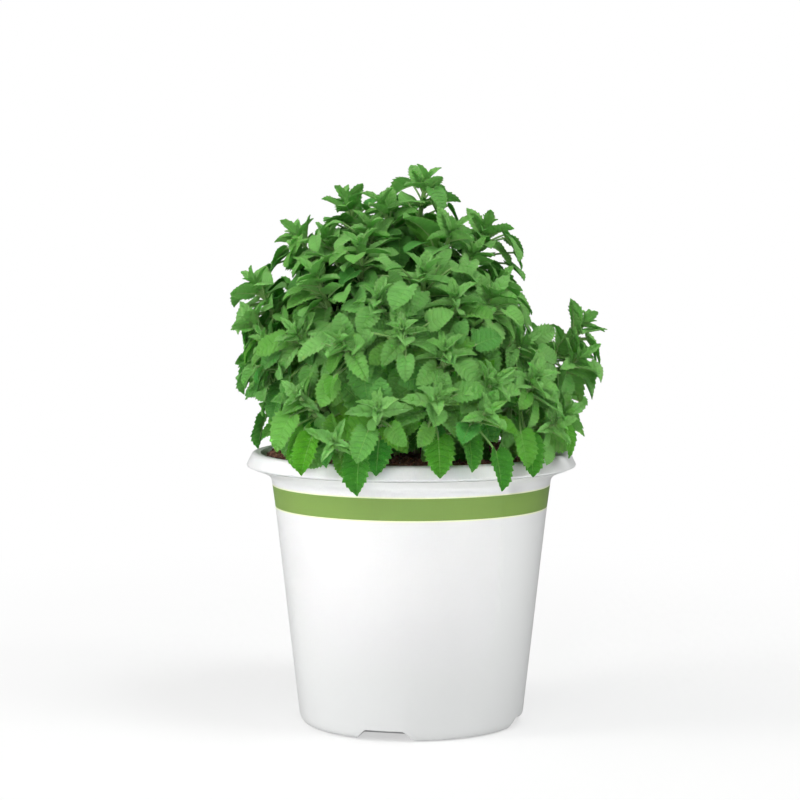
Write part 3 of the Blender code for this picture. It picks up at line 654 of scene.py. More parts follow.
def square_tube(points, radii):
    """Points and faces of a four-sided tube along a shoot."""
    corners, faces = [], []
    for i, point in enumerate(points):
        along = (points[min(i + 1, len(points) - 1)] - points[max(i - 1, 0)]).normalized()
        x = along.cross(Vector((0.3, 1, 0.1))).normalized()
        y = along.cross(x)
        for turn in QUARTER_TURNS:
            corners.append(point + (x * math.cos(turn) + y * math.sin(turn)) * radii[i])
    for i in range(len(points) - 1):
        for j in range(4):
            k = (j + 1) % 4
            faces.append((4 * i + j, 4 * i + k, 4 * i + 4 + k, 4 * i + 4 + j))
    return corners, faces


def shoot_radii(shoot):
    low = STEM_FOOT_RADIUS if shoot["main"] else SHOOT_FORK_RADIUS
    high = STEM_TIP_RADIUS if shoot["main"] else SHOOT_TIP_RADIUS
    last = len(shoot["points"]) - 1
    return [low + (high - low) * i / last for i in range(last + 1)]


def stand_obstacles(shoots):
    """What the leaves grow clear of: the rim, the wall, the mix, the shoots and their buds."""
    thicket = Thicket()
    for outline in (COARSE_RIM_MM, COARSE_WALL_MM):
        thicket.add("pot", *lathe_faces([(r * MM, z * MM) for r, z in outline], POT_SIDES))
    thicket.add("soil", *lathe_faces([(r * MM, COARSE_TOP) for r in COARSE_TOP_MM], POT_SIDES))
    for shoot in shoots:
        points = shoot["points"][1 if shoot["main"] else 0:]
        radii = shoot_radii(shoot)[-len(points):]
        thicket.add(shoot["stem"], *square_tube(points, radii))
    for shoot in shoots:
        thicket.add(shoot["stem"], *bud_solid(shoot))
    return thicket


def grow_leaves(shoots, thicket):
    """The poses of all the leaves that find room, the largest first."""
    plans = [(hanging_pose, hanging_site(mm(*tip), shoots)) for tip in HANGING_TIPS]
    plans += [(leaf_pose, site) for site in leaf_sites(shoots)]
    return settle(plans, thicket, TRIES, CLEAR_GAP)


def settle(plans, thicket, tries, gap, own_gap=0.0, allowed=lambda pose: True):
    """The first pose of each planned leaf that is well bent and crosses nothing."""
    poses = []
    for pose_maker, site in plans:
        for attempt in range(tries):
            pose = pose_maker(site, attempt)
            if not (well_bent(pose) and allowed(pose)):
                continue
            solid = leaf_solid(pose, own_gap, CLEAR_OF_STEM)
            grown = leaf_solid(pose, gap, CLEAR_OF_STEM)
            if not thicket.crossed(site["stem"], solid, grown):
                thicket.add(site["stem"], *solid)
                poses.append(pose)
                break
    return poses


# The small leaves that the solids leave out: between the pairs, in the shade, and in the axils

# How far from a shoot's tip the first lesser leaves spring, and how much bare stem the last ones leave
FILL_FIRST = 7.3 * MM
FILL_FOOT = 4 * MM
# Each round of lesser leaves, in mm: the steps along a shoot, the petioles, and the blades' lengths near
# the tip and lower down
FILL_ROUNDS = (
    ((6.0, 8.0), (3.0, 6.0), (9.0, 15.0)),
    ((5.0, 7.0), (6.0, 12.0), (11.0, 14.0)),
    ((5.0, 7.0), (4.0, 14.0), (9.0, 12.0)),
    ((4.0, 6.0), (3.0, 16.0), (8.0, 9.0)),
)
# The lesser leaves that reach the rim: where each one's tip is, in mm
LESSER_HANGING_TIPS = (
    (-10.5, -57, 92), (19.5, -57, 92), (48, -33, 92), (-37, -45, 90), (36, -47, 91),
    (0, 59, 91), (-42, 40, 91), (53, 20, 92), (-54, 16, 92.5), (25, 54, 91),
)
LESSER_HANGING_LENGTH = 12.5 * MM
FILL_TRIES = 16
FILL_GAP = -0.15 * MM
FILL_DROOP_DEG = 30
FILL_SMALLER_EACH_TRY = 0.012
FILL_LOWEST = SOIL_TOP + 1.5 * MM
# Near the mix only this share of the lesser leaves is kept
SPARSE_BELOW = SOIL_TOP + 20 * MM
SPARSE_SHARE = 0.15
# The space before a shoot's tip that they leave clear
BUD_VIEW = 22 * MM
BUD_CLEARANCE = 4.5 * MM
ENVELOPE_CONE = math.cos(math.radians(9))
# The stems that carry few lesser leaves, and the share that they keep
AIRY_STEMS = ("stem_far_right", "stem_crown")
AIRY_SHARE = 0.3
# The small leaves with no petiole: half width by length, in an axil and at a tip, and how far they bend
TUFT_WIDTH = 0.36
BUD_WIDTH = 0.27
SMALL_DROOP = math.radians(24)


def fill_sites(shoots, number_of_round):
    """Places for one round of the lesser leaves, between the pairs and further down the shoots."""
    steps, petioles, (least, most) = FILL_ROUNDS[number_of_round]
    sites = []
    for number, shoot in enumerate(shoots):
        rng = random.Random(SEED * 2000 + number_of_round * 100 + number)
        length = shoot_length(shoot)
        distance = FILL_FIRST
        turn = shoot["turn"] + math.pi / 4
        last = length - (HOLE_DEPTH + FILL_FOOT if shoot["main"] else FILL_FOOT)
        while distance < last:
            place, along = point_from_tip(shoot["points"], distance)
            share = min(1.0, distance / (40 * MM))
            for half in (0, 1):
                sites.append({
                    "stem": shoot["stem"], "shoot": number, "place": place, "along": along,
                    "pair": 1 + int(share * 3.99), "turn": turn + half * math.pi + rng.uniform(-0.4, 0.4),
                    "petiole": rng.uniform(*petioles) * MM, "seed": rng.randrange(1 << 30),
                    "length": (least + (most - least) * share) * MM * rng.uniform(0.8, 1.2),
                })
            turn += math.pi / 2
            distance += rng.uniform(*steps) * MM
    sites.sort(key=lambda site: (-site["length"], site["seed"]))
    return sites


def fill_pose(site, attempt):
    """One way that a lesser leaf could hang, with its face out of the foliage."""
    rng = random.Random(site["seed"] + attempt)
    along, away = site["along"], dome_direction(site["place"])
    side = turned_side(along, site["turn"] + rng.uniform(-0.9, 0.9))
    splay = math.radians(rng.uniform(48, 88))
    petiole = (along * math.cos(splay) + side * math.sin(splay) + away * 0.25).normalized()
    forward = (petiole * 0.9 + away * 0.2 - UP * rng.uniform(0.5, 1.5)).normalized()
    normal = facing(forward, away * 1.5 + UP * 0.45, math.radians(rng.uniform(-24, 24)))
    petiole = twisted(petiole, forward, normal)
    joint = site["place"] + petiole * site["petiole"] * rng.uniform(0.8, 1.2)
    length = site["length"] * (1.0 - FILL_SMALLER_EACH_TRY * attempt)
    return leaf(site, rng, petiole, joint, forward, normal, length, FILL_DROOP_DEG)


class Envelope:
    """How far the coarse foliage reaches from the middle of the dome, direction by direction."""

    def __init__(self, shoots, poses):
        solids = [leaf_solid(pose)[0] for pose in poses] + [bud_solid(shoot)[0] for shoot in shoots]
        rays = np.concatenate([np.array(points) for points in solids]) - np.array(DOME_CENTRE)
        self.reach = np.linalg.norm(rays, axis=1)
        self.rays = rays / self.reach[:, None]
        self.tips = np.array([bud_frame(shoot)[0] for shoot in shoots])
        self.growth = np.array([bud_frame(shoot)[1] for shoot in shoots])

    def hides_bud(self, points):
        """Whether any of the points is in the clear space before a shoot's tip."""
        rays = points[:, None] - self.tips
        ahead = (rays * self.growth).sum(2)
        aside = np.sqrt(np.maximum((rays ** 2).sum(2) - ahead ** 2, 0))
        return bool(((ahead > -2 * MM) & (ahead < BUD_VIEW) & (aside < BUD_CLEARANCE + ahead * 0.15)).any())

    def holds(self, pose):
        """Whether a lesser leaf stays within the foliage, above the mix and clear of the tips."""
        points = np.array(leaf_solid(pose)[0])
        lowest = points[:, 2].min()
        if lowest < FILL_LOWEST or (lowest < SPARSE_BELOW and pose["seed"] % 1000 > 1000 * SPARSE_SHARE):
            return False
        if pose["stem"] in AIRY_STEMS and pose["seed"] % 997 > 997 * AIRY_SHARE:
            return False
        if self.hides_bud(points):
            return False
        rays = points - np.array(DOME_CENTRE)
        reach = np.linalg.norm(rays, axis=1)
        near = (rays / reach[:, None]) @ self.rays.T > ENVELOPE_CONE
        return bool((reach <= np.where(near, self.reach, 0.0).max(1)).all())


def slim(pose, settings):
    """The pose of the fine leaf that stands for a coarse one, a little smaller than its coarse form."""
    length = pose["length"] * settings.leaf_length
    kept = (pose["length"] - length) * 0.8 if pose["hangs"] else 0.0
    return {**pose, "length": length, "half": pose["half"] * settings.leaf_width,
            "joint": pose["joint"] + pose["forward"] * kept}


def fill_leaves(shoots, poses, envelope):
    """The lesser leaves, round by round, in what room the fine leaves leave."""
    thicket = stand_obstacles(shoots)
    for pose in poses:
        thicket.add(pose["stem"], *leaf_solid(pose, FILL_GAP))
    sites = [hanging_site(mm(*tip), shoots, LESSER_HANGING_LENGTH) for tip in LESSER_HANGING_TIPS]
    fill = settle([(hanging_pose, site) for site in sites], thicket, TRIES, FILL_GAP, FILL_GAP)
    for number in range(len(FILL_ROUNDS)):
        plans = [(fill_pose, site) for site in fill_sites(shoots, number)]
        fill += settle(plans, thicket, FILL_TRIES, FILL_GAP, FILL_GAP, envelope.holds)
    return fill


def axil_tuft(pose, shoots, rng):
    """The poses of the tiny leaves that spring from the axil of a leaf."""
    along = point_from_tip(shoots[pose["shoot"]]["points"], PAIR_FROM_TIP_MM[pose["pair"]] * MM)[1]
    rise = (along * 1.2 + pose["petiole"] * 0.8 + UP * 0.2).normalized()
    size = rng.uniform(3.2, 6.0) * MM
    turn = rng.uniform(0, math.pi)
    poses = []
    for half in (0, 1):
        side = turned_side(rise, turn + half * math.pi)
        splay = math.radians(rng.uniform(35, 60))
        length = size * rng.uniform(0.8, 1.15)
        # This draw is passed over, so that the later ones stay as they are
        rng.randrange(1 << 30)
        poses.append(small_pose(pose["root"] + rise * 1.0 * MM, rise, side, splay, length, TUFT_WIDTH, 24))
    return poses


def small_pose(joint, along, side, splay, length, width_share, cup_deg):
    """A small leaf with no petiole, that leans out from a shoot's direction and faces inwards and up."""
    forward = (along * math.cos(splay) + side * math.sin(splay)).normalized()
    inward = along * math.sin(splay) - side * math.cos(splay)
    normal = (inward - forward * inward.dot(forward)).normalized()
    return {
        "joint": joint, "forward": forward, "normal": normal, "side": forward.cross(normal),
        "length": length, "half": length * width_share, "droop": SMALL_DROOP, "cup": math.radians(cup_deg),
    }


# The fine leaf, worked out once for each fineness and then laid over each pose


def smooth_through(points, shares):
    """Points at these shares of the way along a smooth curve through the given points."""
    knots = np.array(points, float)
    padded = np.concatenate([[2 * knots[0] - knots[1]], knots, [2 * knots[-1] - knots[-2]]])
    place = np.clip(np.asarray(shares, float), 0, 1) * (len(knots) - 1)
    span = np.minimum(place.astype(int), len(knots) - 2)
    t = (place - span)[:, None]
    a, b, c, d = (padded[span + k] for k in range(4))
    bend = (2 * a - 5 * b + 4 * c - d) * t ** 2
    return 0.5 * (2 * b + (c - a) * t + bend + (3 * b - a - 3 * c + d) * t ** 3)


class LeafForm:
    """The net of one fineness of leaf: where its points are on the blade, and its faces.

    Rows follow the side veins from the rib to the margin, to a notch and a tooth in turn.
    """

    def __init__(self, teeth, inner):
        rows = 2 * teeth + 1
        self.columns = (0.0, *inner, 1.0)
        shares = FIRST_NOTCH + (1 - FIRST_NOTCH) * np.array(
            [(i // 2 + (TOOTH_FORWARD if i % 2 else 0.0)) / teeth for i in range(rows)]
        )
        margin = smooth_through(LEAF_OUTLINE, shares)
        ahead = smooth_through(LEAF_OUTLINE, shares + 0.01)
        run = (ahead - margin) * (1, BLADE_ASPECT)
        run /= np.maximum(np.linalg.norm(run, axis=1), 1e-9)[:, None]
        out = np.stack([-run[:, 1], run[:, 0] / BLADE_ASPECT], 1)
        tooth = np.array([1.0 if i % 2 else -0.35 for i in range(rows)])
        pitch = np.linalg.norm(np.gradient(margin, axis=0) * (1, BLADE_ASPECT), axis=1)
        tooth *= np.clip((1 - shares) * 2.8, 0, 1) * TOOTH_DEPTH * (pitch / pitch.max()) ** 1.3
        self.margin = margin
        self.out = out * tooth[:, None]
        self.out[0] = self.out[-1] = 0
        ribs = margin[:, 0] - FAN_SHARE * (1 - margin[:, 0])
        self.ribs = np.maximum.accumulate(np.where(ribs > 0.02, ribs, 0.0))
        self.rows = rows
        self.lay_points()
        self.lay_faces()

    def lay_points(self):
        """The nets of both halves, above and below, which name the points that they share."""
        known, points = {}, []
        self.nets = {}
        for sign in (1, -1):
            for face in (1, -1):
                net = np.zeros((self.rows, len(self.columns)), int)
                for i, j in np.ndindex(net.shape):
                    key, point = self.net_point(i, j, sign, face)
                    if key not in known:
                        known[key] = len(points)
                        points.append(point)
                    net[i, j] = known[key]
                self.nets[(sign, face)] = net
        table = np.array(points)
        self.share, self.across, self.push_share, self.push_across, self.quilt, self.sheet = table[:, :6].T
        self.tooth = table[:, 6].astype(int)

    def net_point(self, i, j, sign, face):
        """What names one point, and its place, push, quilting, side of the sheet and row."""
        rib, column = self.ribs[i], self.columns[j]
        if i == self.rows - 1:
            return "tip", (1.0, 0.0, 0.0, 0.0, 0.0, 0, 0)
        if j == 0:
            sheet = face if rib > 0 else 0
            return (round(float(rib), 6), sheet), (rib, 0.0, 0.0, 0.0, 0.0, sheet, 0)
        sheet = 0 if column == 1 or i == 0 else face
        share, width = self.margin[i]
        push = self.out[i] * (column ** 3)
        relief = math.sin(math.pi * min(1.0, column / 0.92)) if column < 1 else 0.0
        quilt = (-1.0 if i % 2 else 0.8) * relief * (1.0 if i % 4 == 1 or i % 2 == 0 else 0.5)
        quilt *= 0.25 + 0.75 * min(1.0, rib / 0.12)
        along = rib + (share - rib) * column ** 1.12
        return (i, j, sign, sheet), (along, sign * width * column, push[0], sign * push[1], quilt, sheet, i)

    def lay_faces(self):
        """Faces with their places on the pattern map, upper side first."""
        self.faces = []
        self.places = []
        self.under = []
        for face in (1, -1):
            for sign in (1, -1):
                net = self.nets[(sign, face)]
                for i in range(self.rows - 1):
                    for j in range(len(self.columns) - 1):
                        self.lay_face(net, i, j, sign, face)
        self.places = np.array(self.places)

    def lay_face(self, net, i, j, sign, face):
        """One face of the net, with the corners that fall on one point taken together."""
        corners = [(i, j), (i, j + 1), (i + 1, j + 1), (i + 1, j)]
        if sign * face < 0:
            corners.reverse()
        kept = []
        for row, column in corners:
            place = (0.5 + 0.5 * sign * self.columns[column], row / 2 / VEINS_TO_MAP)
            if kept and kept[-1][0] == net[row, column]:
                kept[-1] = (kept[-1][0], ((kept[-1][1][0] + place[0]) / 2, (kept[-1][1][1] + place[1]) / 2))
            else:
                kept.append((net[row, column], place))
        if kept[0][0] == kept[-1][0]:
            kept[0] = (kept[0][0], tuple((a + b) / 2 for a, b in zip(kept[0][1], kept[-1][1])))
            kept.pop()
        if len(kept) > 2:
            self.faces.append(tuple(int(index) for index, _ in kept))
            self.places += [place for _, place in kept]
            self.under.append(face < 0)


def blade_surface(pose, share, across, lift):
    """Points of the curved, cupped and gently waved blade, at a lift off its middle surface."""
    bend = pose["droop"]
    angle = bend * np.maximum(share, 0)
    ahead = np.where(share > 0, np.sin(angle) / bend, share)
    below = (1 - np.cos(angle)) / bend
    forward, normal, side = (np.array(pose[key]) for key in ("forward", "normal", "side"))
    rib = np.array(pose["joint"]) + (np.outer(ahead, forward) - np.outer(below, normal)) * pose["length"]
    up = np.outer(np.cos(angle), normal) + np.outer(np.sin(angle), forward)
    reach = across * pose["half"]
    rise = math.sin(pose["cup"]) * np.abs(reach) * (1 - 0.28 * across ** 2)
    wave = np.sin(share * 7.5 + np.sign(across) * 1.3 + pose["phase"])
    rise = rise + pose["wave"] * wave * np.abs(across)
    rise = rise + pose["twist"] * share * reach
    return rib + np.outer(reach * math.cos(pose["cup"]), side) + up * (rise + lift)[:, None]


def lively(pose, rng):
    """A pose with its own small wave, twist and fold."""
    return {
        **pose, "wave": rng.uniform(*WAVE_SHARE) * pose["length"], "phase": rng.uniform(0, 6.283),
        "twist": rng.uniform(-BLADE_TWIST, BLADE_TWIST), "cup": pose["cup"] * rng.uniform(*DEEPER_CUP),
    }


def blade_mesh(pose, form, settings, rng):
    """The points of one fine blade, with teeth of slightly different sizes."""
    vary = np.array([rng.uniform(0.7, 1.3) for _ in range(form.rows)])[form.tooth]
    quilt = form.quilt * settings.quilt_depth * min(1.0, pose["length"] / QUILTED_LENGTH)
    lift = quilt + form.sheet * settings.leaf_thickness / 2
    share = form.share + form.push_share * vary
    across = form.across + form.push_across * vary
    return blade_surface(pose, share, across, lift)


def tube(points, radii, section):
    """Points and faces of a closed tube of any section along a path, carried along without a turn."""
    points = np.array(points, float)
    along = np.gradient(points, axis=0)
    along /= np.linalg.norm(along, axis=1)[:, None]
    side = np.array(Vector(along[0]).orthogonal().normalized())
    section = np.array(section)
    rings = []
    for i, direction in enumerate(along):
        side = side - direction * side.dot(direction)
        side /= np.linalg.norm(side)
        above = np.cross(direction, side)
        ring = np.outer(section[:, 0], side) + np.outer(section[:, 1], above)
        rings.append(points[i] + ring * radii[i])
    count = len(section)
    last = (len(points) - 1) * count
    faces = [
        (i + j, i + (j + 1) % count, i + count + (j + 1) % count, i + count + j)
        for i in range(0, last, count) for j in range(count)
    ]
    faces += [tuple(reversed(range(count))), tuple(range(last, last + count))]
    return np.concatenate(rings), faces


def round_section(sides):
    turns = [2 * math.pi * i / sides for i in range(sides)]
    return [(math.cos(turn), math.sin(turn)) for turn in turns]


def square_section():
    """The four-cornered section of a catnip stem, with rounded corners and faintly hollow sides."""
    section = []
    for corner in range(4):
        for turn_deg, reach in ((-13, 0.98), (13, 0.98), (45, 0.70)):
            turn = math.radians(90 * corner + turn_deg)
            section.append((math.cos(turn) * reach, math.sin(turn) * reach))
    return section


class Heap:
    """Points and faces gathered for one piece, with each face's material, tone, age and pattern places."""

    def __init__(self):
        self.points, self.faces, self.places = [], [], []
        self.materials, self.tones, self.ages = [], [], []
        self.count = 0

    def add(self, points, faces, material, tone, age, places=None):
        self.points.append(np.asarray(points, float))
        self.faces += [tuple(index + self.count for index in face) for face in faces]
        self.count += len(points)
        self.materials += list(material) if hasattr(material, "__len__") else [material] * len(faces)
        self.tones += [tone] * len(faces)
        self.ages += list(age) if hasattr(age, "__len__") else [age] * len(faces)
        corners = sum(len(face) for face in faces)
        self.places.append(np.full((corners, 2), 0.5) if places is None else places)

    def make(self, name, materials, smooth_angle):
        """The finished object, shaded smooth up to an angle, at the origin."""
        mesh = bpy.data.meshes.new(name)
        mesh.from_pydata(np.concatenate(self.points), [], self.faces)
        mesh.polygons.foreach_set("material_index", np.array(self.materials, np.int32))
        for key, values in (("tone", self.tones), ("age", self.ages)):
            attribute = mesh.attributes.new(key, "FLOAT", "FACE")
            attribute.data.foreach_set("value", np.array(values, np.float32))
        pattern = mesh.uv_layers.new(name="pattern")
        pattern.uv.foreach_set("vector", np.concatenate(self.places).astype(np.float32).ravel())
        for material in materials:
            mesh.materials.append(material)
        mesh.shade_smooth()
        mesh.set_sharp_from_angle(angle=smooth_angle)
        obj = bpy.data.objects.new(name, mesh)
        bpy.context.scene.collection.objects.link(obj)
        return obj


# The pieces of a stem

BLADE_UP, BLADE_UNDER, STALK, DOWN_HAIR = range(4)
# How old the parts look, from 0 to 1, which sets their green
HANGING_AGE = 0.93
MOST_AGE = 0.85
TUFT_AGE = 0.12
UNEVEN_AGE = (0.6, 1.15)
PETIOLE_YOUTH = 0.3


def add_blade(heap, pose, form, settings, rng, age, uneven_age=None):
    """Adds a fine blade with its own wave, twist, tone and teeth, and returns the pose that it got."""
    fine = lively(pose, rng)
    tone = rng.random()
    if uneven_age:
        age = age * rng.uniform(*uneven_age)
    points = blade_mesh(fine, form, settings, rng)
    materials = [BLADE_UNDER if under else BLADE_UP for under in form.under]
    heap.add(points, form.faces, materials, tone, age, form.places)
    return fine


def add_petiole(heap, pose, settings, sides, age):
    """The leaf's stalk, which runs on under the blade as its rib."""
    root, joint = pose["root"], pose["joint"]
    reach = (joint - root).length
    bow = root.lerp(joint, 0.55) + (pose["petiole"] - pose["forward"]).normalized() * reach * 0.07
    handles = root.lerp(bow, 0.6), joint.lerp(bow, 0.5)
    path = [Vector(point) for point in interpolate_bezier(root, *handles, joint, 5)]
    radii = [ROOT_HALF * 1.25, ROOT_HALF, ROOT_HALF * 0.95, PETIOLE_HALF * 0.9, PETIOLE_HALF * 0.85]
    rib_radii = np.array(RIB_RADII_MM) * MM * pose["length"] / (18 * MM)
    lift = -settings.leaf_thickness / 2 - rib_radii * 0.45
    rib = blade_surface(pose, np.array(RIB_SHARES), np.zeros(len(RIB_SHARES)), lift)
    points, faces = tube([*path, *rib], [*radii, *rib_radii], round_section(sides))
    heap.add(points, faces, STALK, 0.5, age)


def add_shoot(heap, shoot, settings, rng):
    """A smooth four-cornered stem that swells a little where its leaves spring, and its fine hairs."""
    length = shoot_length(shoot)
    count = max(8, int(length / (2.2 * MM)))
    shares = np.linspace(0, 1, count)
    path = smooth_through([tuple(point) for point in shoot["points"]], shares)
    ends = shoot_radii(shoot)
    radii = ends[0] + (ends[-1] - ends[0]) * shares
    from_tip = np.concatenate([np.cumsum(np.linalg.norm(np.diff(path, axis=0), axis=1)[::-1])[::-1], [0]])
    for pair in range(shoot["pairs"]):
        from_joint = (from_tip - PAIR_FROM_TIP_MM[pair] * MM) / SWELLING_LENGTH
        radii = radii * (1 + SWELLING * np.exp(-from_joint ** 2))
    section = square_section()
    points, faces = tube(path, radii, section)
    rings = np.minimum(np.arange(len(faces)) // len(section), count - 1)
    heap.add(points, faces, STALK, rng.random(), np.clip(from_tip[rings] / OLD_FROM_TIP, 0, 1))
    add_hairs(heap, path, radii, from_tip, settings, rng)


def add_hairs(heap, path, radii, from_tip, settings, rng):
    """Short pale hairs that lie back along the younger part of a stem."""
    for i in range(1, len(path) - 1):
        if from_tip[i] > HAIRY_FROM_TIP:
            continue
        along = Vector(path[i + 1] - path[i - 1]).normalized()
        for _ in range(settings.hairs_per_ring):
            side = turned_side(along, rng.uniform(0, 2 * math.pi))
            foot = Vector(path[i]).lerp(Vector(path[i + 1]), rng.random()) + side * radii[i] * 0.7
            lean = (side - along * rng.uniform(0.1, 0.7)).normalized()
            add_hair(heap, foot, lean, rng.uniform(0.5, 1.0) * settings.hair_length)


def add_hair(heap, foot, lean, length):
    """One hair, a thin spike on a three-cornered foot."""
    across = lean.orthogonal().normalized() * 0.035 * MM
    other = lean.cross(across)
    back = foot - across * 0.5
    points = [foot + across, back + other * 0.87, back - other * 0.87, foot + lean * length]
    heap.add(points, [(0, 1, 3), (1, 2, 3), (2, 0, 3), (2, 1, 0)], DOWN_HAIR, 0.5, 0.0)


def add_bud(heap, shoot, forms, settings, rng):
    """The rosette at the tip of a shoot: open pairs below, and smaller, steeper ones inside them."""
    tip, along, side = bud_frame(shoot)
    for size, splay_deg, rise, quarter, form in BUD_PAIRS:
        turned = along.cross(side) if quarter else side
        for sign in (1, -1):
            splay = math.radians(splay_deg + rng.uniform(-6, 7))
            joint = tip + along * rise * MM + turned * sign * 0.3 * MM
            length = shoot["bud"] * size * rng.uniform(0.92, 1.04)
            pose = small_pose(joint, along, turned * sign, splay, length, BUD_WIDTH, 26)
            add_blade(heap, pose, forms[form], settings, rng, 0.08 * size)


def leaf_age_and_painted_light(pose):
    """From 0 to 1: it grows down a shoot, and the green darkens towards the mix. Leaves at the right get a
    paler green, which is painted light on the plant's shaded right side.
    """
    if pose["hangs"]:
        return HANGING_AGE
    # Painted light: a younger, paler green for the leaves at the right, where the plant is in shade
    right = min(1.0, max(0.0, (pose["joint"].x - 15 * MM) / (40 * MM)))
    low = min(1.0, max(0.0, (SOIL_TOP + 48 * MM - pose["joint"].z) / (40 * MM)))
    return min(MOST_AGE, 0.08 + 0.16 * pose["pair"] + 0.34 * low) * (1 - 0.7 * right)


def build_stem(name, plant, forms, materials, settings):
    """One leafy stem: its shoots, buds, paired leaves, lesser leaves and the tufts in its axils."""
    shoots, poses, fill = plant
    heap = Heap()
    for number, shoot in enumerate(shoots):
        if shoot["stem"] == name:
            rng = random.Random(SEED * 3000 + number)
            add_shoot(heap, shoot, settings, rng)
            add_bud(heap, shoot, forms, settings, rng)
    for pose in poses:
        if pose["stem"] != name:
            continue
        rng = random.Random(pose["seed"] + 11)
        form = forms["grown" if pose["kind"] == "large" else "middling"]
        fine = add_blade(heap, pose, form, settings, rng, leaf_age_and_painted_light(pose))
        add_petiole(heap, fine, settings, 6, leaf_age_and_painted_light(pose) * PETIOLE_YOUTH)
        if pose["pair"] > 0 and not pose["hangs"]:
            for small in axil_tuft(pose, shoots, rng):
                add_blade(heap, small, forms["tiny"], settings, rng, TUFT_AGE)
    for pose in fill:
        if pose["stem"] != name:
            continue
        rng = random.Random(pose["seed"] + 17)
        fine = add_blade(heap, pose, forms["slight"], settings, rng, leaf_age_and_painted_light(pose), UNEVEN_AGE)
        add_petiole(heap, fine, settings, 5, leaf_age_and_painted_light(pose) * PETIOLE_YOUTH)
    piece = heap.make("leafy_" + name, materials, math.radians(62))
    finish_piece(piece, "leafy_stem", name)


def finish_piece(piece, slot, *nodes):
    """Puts a piece on the body that it rides on, and hides the solids that it stands for. The slot is not
    used.
    """
    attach(piece, "root")
    if nodes:
        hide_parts(*nodes)


# The pot, raised ring by ring and cut


def only(obj):
    """Makes an object the only selected one, and active."""
    bpy.ops.object.select_all(action="DESELECT")
    obj.select_set(True)
    bpy.context.view_layer.objects.active = obj


def turned_solid(name, profile_mm, sides):
    """A closed solid of revolution: a disc whose upper face is extruded and resized from ring to ring."""
    bpy.ops.object.select_all(action="DESELECT")
    radius, height = profile_mm[0]
    bpy.ops.mesh.primitive_circle_add(
        vertices=sides, radius=radius * MM, fill_type="NGON", location=(0, 0, height * MM)
    )
    obj = bpy.context.object
    obj.name = name
    bpy.ops.object.transform_apply(location=True)
    bpy.ops.object.mode_set(mode="EDIT")
    bpy.ops.mesh.select_all(action="SELECT")
    for (low_radius, low), (high_radius, high) in zip(profile_mm, profile_mm[1:]):
        bpy.ops.mesh.extrude_region_move(TRANSFORM_OT_translate={"value": (0, 0, (high - low) * MM)})
        ratio = high_radius / low_radius
        bpy.ops.transform.resize(value=(ratio, ratio, 1), center_override=(0, 0, 0))
    bpy.ops.mesh.select_all(action="SELECT")
    bpy.ops.mesh.normals_make_consistent(inside=False)
    bpy.ops.object.mode_set(mode="OBJECT")
    return obj


def arch_cutter(turn_deg, grow, rounding):
    """The tapered block that fills one drain arch, grown on every side, with its long edges rounded."""
    inner, outer = ARCH_INNER_RADIUS - grow, ARCH_OUTER_RADIUS
    low, high = ARCH_LOWEST, ARCH_HEIGHT + grow
    top_width = ARCH_WIDTH_HIGH + 2 * grow
    low_width = top_width + (ARCH_WIDTH_LOW - ARCH_WIDTH_HIGH) * (high - low) / ARCH_HEIGHT
    bpy.ops.object.select_all(action="DESELECT")
    bpy.ops.mesh.primitive_cube_add(size=1, location=((inner + outer) / 2, 0, (low + high) / 2))
    block = bpy.context.object
    block.scale = (outer - inner, low_width, high - low)
    bpy.ops.object.transform_apply(location=True, scale=True)
    bpy.ops.object.mode_set(mode="EDIT")
    bpy.ops.mesh.select_mode(type="FACE")
    bpy.ops.mesh.select_all(action="DESELECT")
    bpy.ops.object.mode_set(mode="OBJECT")
    for face in block.data.polygons:
        face.select = face.normal.z > 0.9
    bpy.ops.object.mode_set(mode="EDIT")
    bpy.ops.transform.resize(value=(1, top_width / low_width, 1), center_override=(0, 0, 0))
    bpy.ops.mesh.select_all(action="SELECT")
    bpy.ops.mesh.bevel(offset=rounding, segments=4, affect="EDGES")
    bpy.ops.object.mode_set(mode="OBJECT")
    block.rotation_euler = (0, 0, math.radians(turn_deg))
    bpy.ops.object.transform_apply(rotation=True)
    return block


def cut(obj, cutter):
    """Cuts one closed object with another, which is then removed."""
    modifier = obj.modifiers.new("cut", "BOOLEAN")
    modifier.operation = "DIFFERENCE"
    modifier.object = cutter
    only(obj)
    bpy.ops.object.modifier_apply(modifier=modifier.name)
    bpy.data.objects.remove(cutter)


def cut_round_arches(obj, gap):
    """Keeps what is inside the pot clear of the walls round its arches."""
    for turn_deg in ARCH_TURNS_DEG:
        cut(obj, arch_cutter(turn_deg, WALL + gap, ARCH_ROUNDING + WALL * 0.5))


def finish_turned(obj, crease_deg, material, slot, node):
    """Shades a turned piece, gives it its material and hides the solid that it stands for."""
    only(obj)
    bpy.ops.object.shade_smooth_by_angle(angle=math.radians(crease_deg))
    obj.data.materials.clear()
    obj.data.materials.append(material)
    finish_piece(obj, slot, node)


